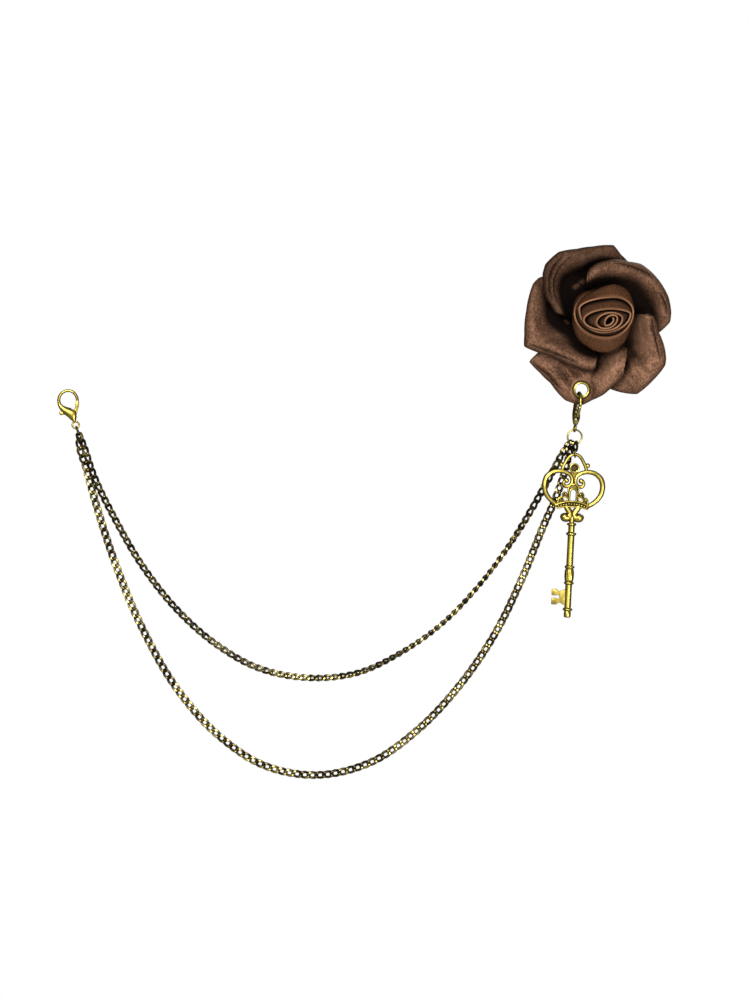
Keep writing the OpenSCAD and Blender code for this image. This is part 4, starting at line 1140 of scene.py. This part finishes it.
# rim: angle, reach and rise as shares, and share of the way out where the hollow ends, from the
# tucked end to the corner of the lapping end. end: angle and reach of the lapping edge.
# dark: angle, radius where the painted shade ends and radius where the painted light begins, in mm.
# tone: share of the painted light on the whole petal.
# pleats and creases: depth or height, width and places in X and Z. glints: strength, width and
# places of painted highlights.
petalFolds = {
    "petalTop": {
        "node": "petal_top", "tone": 0.54, "flat": (0.046, 0.023),
        "rim": [
            (52, 0.74, 0.01, 0.3), (64, 0.85, 0.08, 0.4), (73, 0.91, 0.20, 0.45),
            (80, 1.00, 0.34, 0.48), (84, 0.99, 0.38, 0.48), (96, 0.97, 0.46, 0.48),
            (108, 0.98, 0.53, 0.48), (121, 1.04, 0.60, 0.46), (134, 1.02, 0.66, 0.44),
            (141, 0.96, 0.69, 0.42), (146, 0.89, 0.70, 0.38), (151, 0.84, 0.70, 0.32),
            (157.5, 0.76, 0.68, 0.22), (162, 0.68, 0.66, 0.15), (170, 0.585, 0.60, 0.10)],
        "end": [(170, 0.585), (172, 0.385)],
        "dark": [(52, 24, 26.5), (90, 23.5, 26.5), (110, 21, 25), (130, 22, 25.5),
                 (150, 16.5, 19.5), (165, 13.5, 16.5)],
        "pleats": [
            (1.7, 0.5, [(-13.5, 26.4), (-18.2, 21.8), (-20.3, 16.7), (-20.3, 11.4), (-18.6, 6.5)]),
            (1.3, 0.5, [(-10.5, 26.0), (-16.2, 21.0), (-18.2, 16.2), (-18.4, 11.4), (-17.0, 6.8)])],
        "creases": [
            (0.7, 1.0, [(-9.7, 14.0), (-6.5, 16.5)]), (-0.5, 1.2, [(-12.0, 17.5), (-14.0, 9.0)])],
        "glints": [(0.32, 0.8, [(-9.6, 13.4), (-6.6, 15.6)])]},
    "petalRight": {
        "node": "petal_right", "tone": 0.80, "flat": (0.046, 0.022),
        "rim": [
            (-22, 0.68, 0.01, 0.3), (-11, 0.76, 0.10, 0.42), (0, 0.90, 0.28, 0.50),
            (8, 0.92, 0.40, 0.52), (20, 0.93, 0.48, 0.52), (33, 0.92, 0.54, 0.50),
            (46, 0.91, 0.60, 0.44), (55, 0.90, 0.63, 0.36), (64, 0.85, 0.66, 0.30),
            (79, 0.81, 0.70, 0.26), (94, 0.745, 0.72, 0.24), (102, 0.69, 0.72, 0.24),
            (105.5, 0.65, 0.71, 0.24)],
        "end": [(105.5, 0.65), (110, 0.545), (116, 0.44)],
        "dark": [(-22, 21, 24.5), (5, 20.5, 24.5), (25, 19.5, 24), (45, 18, 22.5), (60, 16.3, 20.5),
                 (80, 15.3, 18.8), (100, 14.8, 17.5)],
        "pleats": [
            (1.5, 0.7, [(3.0, 22.8), (9.0, 22.0), (13.7, 20.7), (18.1, 18.6), (21.0, 15.6)]),
            (1.1, 0.5, [(22.6, 11.5), (24.3, 8.7), (25.4, 6.0), (25.6, 2.5)])],
        "creases": [(0.4, 1.2, [(-2.5, 19.5), (1.5, 20.5)]), (-0.4, 1.4, [(9.5, 17.0), (17.0, 12.0)])],
        "glints": []},
    "petalLowerRight": {
        "node": "petal_lower_right", "tone": 1.0, "flat": (0.044, 0.020),
        "rim": [
            (-92, 0.78, 0.01, 0.1), (-81, 0.87, 0.10, 0.15), (-63, 1.04, 0.28, 0.2),
            (-48, 1.01, 0.42, 0.2), (-34, 1.00, 0.52, 0.18), (-30, 0.97, 0.55, 0.16),
            (-20, 0.86, 0.60, 0.12), (-11, 0.76, 0.64, 0.10), (2, 0.70, 0.68, 0.08),
            (6, 0.68, 0.68, 0.08)],
        "end": [(6, 0.68), (8.5, 0.55), (12, 0.42)],
        "dark": [(-92, 13, 16), (-60, 13.5, 16.5), (-40, 14.5, 18), (-25, 13, 15.8),
                 (-10, 12.4, 15), (5, 12.2, 14.4)],
        "pleats": [(1.5, 0.4, [(19.3, 2.5), (20.3, -3.0), (21.6, -9.0), (23.0, -15.2)])],
        "creases": [
            (-1.3, 1.4, [(11.0, -8.5), (12.5, -13.0), (16.5, -18.0)]),
            (0.8, 1.2, [(11.2, -14.0), (12.0, -19.5)]), (0.5, 1.2, [(15.5, -14.5), (19.5, -20.0)]),
            (0.4, 0.9, [(17.6, 1.0), (18.6, -6.5)]), (-0.5, 0.8, [(15.0, 1.5), (16.4, -5.0)])],
        "glints": [
            (0.98, 2.7, [(15.6, -0.5), (15.8, -5.5), (17.2, -10.5)]),
            (0.7, 1.8, [(14.4, -15.2), (17.5, -20.5)])]},
    "petalBottom": {
        "node": "petal_bottom", "tone": 1.0, "flat": (0.050, 0.020),
        "rim": [
            (-168, 0.55, 0.00, 0.1), (-154, 0.88, 0.02, 0.1), (-151, 1.04, 0.06, 0.1),
            (-140, 1.01, 0.11, 0.1), (-129, 1.01, 0.17, 0.1), (-114, 1.10, 0.19, 0.1),
            (-106, 1.10, 0.20, 0.1), (-102, 1.09, 0.22, 0.1), (-96, 1.01, 0.28, 0.1),
            (-88, 0.94, 0.38, 0.08), (-79, 0.84, 0.48, 0.06), (-72, 0.79, 0.53, 0.05),
            (-68.5, 0.763, 0.55, 0.04)],
        "end": [(-68.5, 0.763), (-64, 0.67), (-59, 0.60), (-52, 0.52), (-45.5, 0.46)],
        "dark": [(-168, 11, 12.5), (-115, 12, 14), (-105, 15, 18), (-98, 16.5, 18.5),
                 (-91, 13, 15), (-86, 11, 12.3), (-45, 10.6, 12)],
        "pleats": [(1.0, 0.4, [(-26.0, -15.6), (-20.5, -20.2), (-14.0, -27.2)])],
        "creases": [
            (-0.9, 1.0, [(-18.1, -15.5), (-14.0, -21.5), (-10.8, -25.5)]),
            (0.7, 0.9, [(-14.6, -15.8), (-10.0, -22.2)]), (0.5, 0.8, [(-8.4, -17.0), (-5.6, -22.6)]),
            (-0.7, 0.8, [(-11.8, -16.5), (-8.0, -21.0)]), (0.5, 0.9, [(-22.5, -16.0), (-16.5, -22.0)]),
            (-0.8, 0.9, [(-1.2, -12.5), (-1.4, -17.5), (-4.2, -22.0)]),
            (0.5, 2.2, [(6.0, -13.0), (1.5, -21.0), (-1.0, -26.0)])],
        "glints": [
            (0.98, 2.8, [(6.6, -12.2), (3.6, -18.0), (0.8, -23.0)]),
            (0.7, 1.2, [(-12.2, -18.0), (-5.0, -20.0)])]},
    "petalLeft": {
        "node": "petal_left", "tone": 0.92, "flat": (0.048, 0.023),
        "rim": [
            (133, 0.85, 0.00, 0.3), (144, 0.97, 0.08, 0.4), (150, 0.99, 0.20, 0.45),
            (161, 0.97, 0.36, 0.50), (172, 0.96, 0.44, 0.48), (183, 0.975, 0.50, 0.40),
            (190, 0.99, 0.53, 0.30), (198, 1.03, 0.58, 0.20), (206, 0.90, 0.62, 0.14),
            (214, 0.79, 0.64, 0.10), (225, 0.72, 0.66, 0.08), (241, 0.665, 0.66, 0.06),
            (252, 0.65, 0.66, 0.06), (259, 0.645, 0.63, 0.06), (263, 0.615, 0.60, 0.06)],
        "end": [(263, 0.615), (266, 0.38)],
        "dark": [(133, 21, 25), (170, 20.5, 24), (180, 19, 23), (190, 15.8, 20.2),
                 (200, 13.3, 17), (210, 12.3, 15.5), (225, 12.8, 16), (245, 13.3, 16),
                 (260, 13, 15.5)],
        "pleats": [
            (1.6, 0.4, [(-28.0, -8.6), (-23.4, -10.6), (-18.5, -12.6), (-13.0, -14.6),
                        (-8.0, -16.4)])],
        "creases": [
            (-0.4, 1.3, [(-25.0, 3.0), (-21.0, -4.5)]), (0.4, 1.2, [(-16.0, -6.0), (-9.0, -12.0)])],
        "glints": [(0.45, 0.5, [(-13.2, 0.6), (-12.2, -0.2)])]},
}


def offLine(x, z, line):
    # distance from a line of places, the side of it, and the share along it
    best = (1e9, 1.0, 0.0)
    for i, ((ax, az), (bx, bz)) in enumerate(zip(line, line[1:])):
        dx, dz = bx - ax, bz - az
        share = clamp(((x - ax) * dx + (z - az) * dz) / (dx * dx + dz * dz))
        away = math.hypot(x - ax - share * dx, z - az - share * dz)
        if away < best[0]:
            side = (x - ax) * dz - (z - az) * dx
            best = (away, side, (i + share) / (len(line) - 1))
    return best


foldLook = {
    "endPower": 0.7,
    # share of the light that a pleat takes on its outer side, and how far its shade reaches
    "shade": 0.75,
    "shadeWide": 0.6,
    # lift on a pleat's inner side, as shares of its depth and width
    "inner": 0.35,
    "innerWide": 2.2,
    "creaseEnds": (0.08, 0.92),
    "creaseShade": 0.6,
}


def foldsAt(spec, x, z):
    # how far the folds lift the satin, and the share of the light that they leave
    f = foldLook
    lifted, light = 0.0, 1.0
    for depth, width, line in spec["pleats"]:
        away, side, share = offLine(x, z, line)
        outside = side * (line[0][0] * line[1][1] - line[0][1] * line[1][0]) < 0
        ends = math.sin(math.pi * clamp(share)) ** f["endPower"]
        if outside:
            lifted -= depth * ends * easeStep(away / width)
            light *= 1 - f["shade"] * ends * bell(away, f["shadeWide"])
        else:
            lifted += depth * ends * f["inner"] * bell(away, width * f["innerWide"])
    for height, width, line in spec["creases"]:
        away, side, share = offLine(x, z, line)
        near = math.sin(math.pi * clamp(share, *f["creaseEnds"])) * bell(away, width)
        lifted += height * near
        light *= 1 - f["creaseShade"] * clamp(-height) * near
    return lifted, light


def glintAt(spec, x, z):
    # strength of the painted highlight at this place
    return max((strength * bell(offLine(x, z, line)[0], width)
                for strength, width, line in spec["glints"]), default=0.0)


def cutSection(section, reach):
    # the part of a section that lies within this reach
    made = [section[0]]
    for a, b in zip(section, section[1:]):
        if b.x >= reach:
            made.append(a.lerp(b, clamp((reach - a.x) / (b.x - a.x), 0.02, 1)))
            return made
        made.append(b)
    return made


def petalColumn(p, spec, angle):
    # places of one column from the root to the rim's edge, evenly spaced
    rim, end = spec["rim"], spec["end"]
    first, last = rim[0][0], end[-1][0]
    reach = tableValue(rim, angle, 1) * p["reach"] - p["root"]
    rise, hollow = tableValue(rim, angle, 2) * p["rise"], tableValue(rim, angle, 3)
    seat = p["seat"] + p["satin"] + p["step"] * (angle - first) / (last - first)
    keys = [(0, 0), (hollow * 0.5, 0.01)]
    keys += [(hollow + (1 - hollow) * w, lift) for w, lift in p["roll"]]
    section = smoothRows([(reach * w, rise * lift, 0) for w, lift in keys], 6)
    if angle > end[0][0]:
        section = cutSection(section, tableValue(end, angle, 1) * p["reach"] - p["root"])
    made = []
    turn = math.radians(angle)
    for place in alongCurve(section, p["rows"] + 1):
        radius = p["root"] + place.x
        made.append(Vector((radius * math.cos(turn), -seat - place.y, radius * math.sin(turn))))
    return made


def lightAt(p, spec, angle, radius):
    # share of the painted light on the satin: little in the hollow and at the turned edge, and scaled
    # by the petal's tone
    reach = tableValue(spec["rim"], angle, 1) * p["reach"] - p["root"]
    hollow = tableValue(spec["rim"], angle, 3)
    wall = ((radius - p["root"]) / reach - hollow) / (1 - hollow)
    dark, bright = tableValue(spec["dark"], angle, 1), tableValue(spec["dark"], angle, 2)
    edge = lerp(1.0, p["edgeLight"], easeStep((wall - p["edgeFrom"]) / (1 - p["edgeFrom"])))
    return easeStep((radius - dark) / (bright - dark)) * edge * spec["tone"]


def petalGrid(p, spec, angles):
    # columns softened a little, so that bends look like folded cloth
    grid = [petalColumn(p, spec, angle) for angle in angles]
    columns = zip([grid[0]] + grid, grid, grid[1:] + [grid[-1]])
    return [[(a + b * 2 + c) / 4 for a, b, c in zip(*three)] for three in columns]


def rippleAt(p, place, angle, out, seed):
    scale, weight = p["broad"]
    made = noise.noise(place * scale + Vector((seed, 0, 0))) * weight
    turned, outward, weight = p["fine"]
    loose = math.sin(math.pi * clamp(out, 0.05, 0.95))
    made += noise.noise(Vector((angle * turned, out * outward, seed))) * weight * loose
    scale, weight = p["tight"]
    return made + noise.noise(place * scale) * weight


def pressFlat(p, place):
    # the eyelet's flange presses the satin flat
    away = math.hypot(place.x - eyeMiddle.x, place.z - eyeMiddle.z)
    pressed = 1 - easeStep((away - p["pressed"]) / p["pressedEdge"])
    place.y = lerp(place.y, eyeMiddle.y - p["underFlange"], pressed)


def satinPiece(name, points, columns, layers, thick, edge):
    # a wall of satin from columns of places
    made = meshFrom(name, points, gridFaces(columns, len(points) // columns), layers)
    applyModifier(made, "SOLIDIFY", thickness=thick * mm, offset=-1)
    return smooth(roundEdges(made, edge, angle=60))


def addPetal(name, p, spec):
    columns, rows = p["columns"], p["rows"]
    first, last = spec["rim"][0][0], spec["end"][-1][0]
    angles = [lerp(first, last, c / columns) for c in range(columns + 1)]
    points, cloth, lights = [], [], []
    for c, (angle, column) in enumerate(zip(angles, petalGrid(p, spec, angles))):
        firm = clamp((c / columns - p["smoothEnd"]) * 5)
        for r, place in enumerate(column):
            out = r / rows
            lifted, left = foldsAt(spec, place.x, place.z)
            light = lightAt(p, spec, angle, math.hypot(place.x, place.z)) * left
            lights.append((light, glintAt(spec, place.x, place.z)))
            ripple = p["wrinkle"] * firm * rippleAt(p, place, angle, out, first)
            place.y -= lifted
            place.y -= ripple
            if spec["node"] == "petal_bottom":
                pressFlat(p, place)
            points.append(place * mm)
            cloth.append((math.radians(angle) * p["clothRound"], out * p["clothOut"]))
    petal = satinPiece(name, points, columns + 1, {"cloth": cloth, "hollow": lights},
                       p["satin"], p["edge"])
    return finishPiece(petal, roseSatin, "root", spec["node"])


petals = {name: addPetal(name, petalShape, spec) for name, spec in petalFolds.items()}
drill(petals["petalBottom"], placeBy(
    roundCutter(0, 0, eyeletShape["hole"] / 2 + 0.5, 30), Matrix.Translation(eyeMiddle * mm)))
print("petals made")


# Bud: one satin strip wound from its outer end to the middle

budShape = {
    "high": 16,
    "satin": 0.6,
    "edge": 0.2,
    "floor": 1.7,  # front of the felt
    "perQuarter": 14,  # places on each quarter turn
    # the strip's rim at each quarter turn: X, Z, height as a share, and swell of the wall
    "quarters": [
        (3.0, 12.4, 0.46, 0.10), (-10.6, 3.0, 0.84, 0.85), (1.75, -6.5, 0.85, 1.10),
        (12.4, 3.4, 0.86, 1.00), (4.8, 9.2, 0.88, 1.00), (-8.8, 4.6, 0.88, 1.00),
        (0.4, -4.7, 0.89, 0.00), (11.3, 2.55, 0.90, 0.00), (3.5, 4.7, 0.91, 0.00),
        (-7.1, 0.1, 0.92, 0.00), (1.75, -3.95, 0.92, 0.00), (8.15, 0.8, 0.93, 0.00),
        (3.6, 3.3, 0.94, 0.00), (-2.2, -0.9, 0.94, 0.00), (1.2, -3.3, 0.94, 0.00),
        (6.2, 0.9, 0.95, 0.00), (4.3, 2.4, 0.96, 0.00), (0.9, -0.9, 0.96, 0.00),
        (1.6, -2.2, 0.97, 0.00), (4.8, 0.6, 0.97, 0.00), (4.0, 1.2, 0.98, 0.00)],
    "belly": 0.65,
    "swellMiddle": 1.45,
    "swellSide": 0.25,
    "swellCorner": 2.1,
    # ripples: scale along the strip and down the wall, seed and height
    "ripples": [(0.22, 4.0, 7.0, 0.3), (0.9, 9.0, 3.0, 0.12)],
    "ripplesGrow": 8,  # how fast they grow below the rim
    # fold that crosses the outer turn: its places in X and Z, its height and width, how fast it
    # grows below the rim, and the shade on one side of it
    "fold": [(-9.3, 7.0), (-6.8, 9.0), (-4.4, 10.4), (-2.0, 11.7), (0.4, 12.6), (2.8, 12.9)],
    "foldHigh": 0.5,
    "foldWide": 0.9,
    "foldGrows": 12,
    "shade": 0.7,
    "shadeWide": 0.55,
    # depth below the rim as a share of the wall; share of the belly; share of the gap to the
    # turn outside it
    "wall": [(0.00, 0.00, 0.00), (0.02, 0.05, 0.04), (0.06, 0.30, 0.24), (0.10, 0.52, 0.48),
             (0.15, 0.76, 0.72), (0.22, 0.95, 0.86), (0.32, 0.98, 0.90), (0.44, 0.82, 0.90),
             (0.62, 0.35, 0.90), (0.80, -0.10, 0.90), (1.00, -0.25, 0.90)],
}


def budPath(b):
    # quarter ellipses from one extreme place of the spiral to the next
    made = []
    rows, steps = b["quarters"], b["perQuarter"]
    for i, (start, end) in enumerate(zip(rows, rows[1:])):
        for k in range(steps + (i == len(rows) - 2)):
            t = k / steps
            early, late = math.sin(t * math.pi / 2), 1 - math.cos(t * math.pi / 2)
            if i % 2:
                early, late = late, early
            made.append(Vector((lerp(start[0], end[0], early), lerp(start[1], end[1], late),
                                lerp(start[2], end[2], t), lerp(start[3], end[3], t * t))))
    return made


def wallSwell(b, here, out):
    # how far the wall's belly stands out at this place of the rim
    swell = Vector((out.x * b["swellSide"], (here[1] - b["swellMiddle"]) * b["belly"]))
    corner = max(-out.x, 0) * max(-out.y, 0) * b["swellCorner"]
    return (swell - Vector((corner, corner))) * here[3]


def addBud(b):
    path, wall = budPath(b), smoothRows(b["wall"], 3)
    points, cloth, lights = [], [], []
    along = 0.0
    turn = 4 * b["perQuarter"]
    for c, here in enumerate(path):
        step = (path[min(c + 1, len(path) - 1)] - path[max(c - 1, 0)]).to_2d()
        along += step.length / 2
        run = step.normalized()
        out = Vector((run.y, -run.x))
        nested = easeStep((c - turn) / b["perQuarter"] * 2)
        gap = (path[max(c - turn, 0)] - here).to_2d() * nested
        swell = wallSwell(b, here, out) * (1 - nested)
        for down, belly, share in wall:
            ripple = sum(noise.noise(Vector((along * fine, down * deep, seed))) * height
                         for fine, deep, seed, height in b["ripples"])
            away = gap * share + swell * belly + out * ripple * clamp(down * b["ripplesGrow"])
            place = Vector((here[0] + away.x, -b["floor"] - here[2] * b["high"] * (1 - down),
                            here[1] + away.y))
            near, side, part = offLine(place.x, place.z, b["fold"])
            folded = math.sin(math.pi * clamp(part, 0.1, 0.9)) * (c < turn)
            high = b["foldHigh"] * folded * bell(near, b["foldWide"])
            place.y -= high * clamp(down * b["foldGrows"])
            shaded = b["shade"] * folded * (side > 0) * bell(near, b["shadeWide"])
            lights.append((1 - shaded, 0.0))
            points.append(place * mm)
            cloth.append((along, down * b["high"]))
    bud = satinPiece("satinBud", points, len(path), {"cloth": cloth, "hollow": lights},
                     b["satin"], b["edge"])
    finishPiece(bud, budSatin, "root", "bud")


addBud(budShape)
print("bud made")


# Pieces of the frame that keep their own shape

for node, material in {"rose_backing": brownFelt, "brooch_pin": pinSteel,
                       "jump_ring": ringBrass, "left_ring": chainBronze}.items():
    nodes[node].data.materials.clear()
    nodes[node].data.materials.append(material)


# Floor, light and background

studio = {
    "floorAt": (-0.09, 0, -0.32),
    "floorHalf": (0.6, 0.3, 1),
    "aim": (-0.09, 0, -0.07),
    # name, place, size and power of each soft light
    "lights": [("keyLight", (-0.35, -1.40, 0.45), 0.5, 15.0),
               ("fillLight", (0.50, -1.30, -0.40), 0.5, 15.0),
               ("backLight", (0.5, 0.9, 0.7), 0.4, 14.0)],
    # surroundings that the metal mirrors: the way to their light side, and the shades from the
    # dark side to that one
    "bright": (-0.20, -0.80, 0.30),
    "surroundings": [
        (0.0, (0.02, 0.018, 0.015)), (0.62, (0.03, 0.027, 0.023)), (0.76, (0.10, 0.10, 0.10)),
        (0.86, (0.6, 0.6, 0.6)), (0.94, (1.7, 1.7, 1.7))],
}


def addLight(name, at, aim, size, power):
    deselectAll()
    bpy.ops.object.light_add(type="AREA", location=at)
    light = named(name)
    light.data.size = size
    light.data.energy = power
    light.rotation_euler = (Vector(aim) - Vector(at)).to_track_quat("-Z", "Y").to_euler()


def addFloor(s):
    deselectAll()
    bpy.ops.mesh.primitive_plane_add(size=2, location=s["floorAt"])
    floor = named("floor")
    floor.scale = s["floorHalf"]
    bakePlace(floor)
    material, wire, shader = newMaterial("paleFloor", {"Roughness": 0.8})
    cloud = wire.add("ShaderNodeTexCoord", output="Object").cloud(6.0, 2.0, 0.5)
    feedShader(wire, shader, {"Base Color": cloud.blend((0.80, 0.80, 0.80), (0.86, 0.86, 0.86))})
    floor.data.materials.append(material)


def addWorld(s):
    # plain white behind the piece, and soft surroundings that its metal mirrors
    world = bpy.data.worlds.new("studio")
    bpy.context.scene.world = world
    world.use_nodes = True
    world.node_tree.nodes.clear()
    air = Wire(world.node_tree)
    way = air.add("ShaderNodeTexCoord", output=0)
    toLight = air.add("ShaderNodeVectorMath", {"operation": "DOT_PRODUCT"},
                      {0: way, 1: s["bright"]}, 1).between(-1, 1)
    soft = air.add("ShaderNodeValToRGB", {"stops": s["surroundings"]}, {0: toLight})
    air.add("ShaderNodeOutputWorld", None, {"Surface": air.add("ShaderNodeMixShader", None, {
        0: air.add("ShaderNodeLightPath", output=0),
        1: air.add("ShaderNodeBackground", None, {"Color": soft}),
        2: air.add("ShaderNodeBackground", None, {"Color": (1, 1, 1)})})})


def addStudio(s):
    addFloor(s)
    for name, at, size, power in s["lights"]:
        addLight(name, at, s["aim"], size, power)
    addWorld(s)


addStudio(studio)
print("studio made")
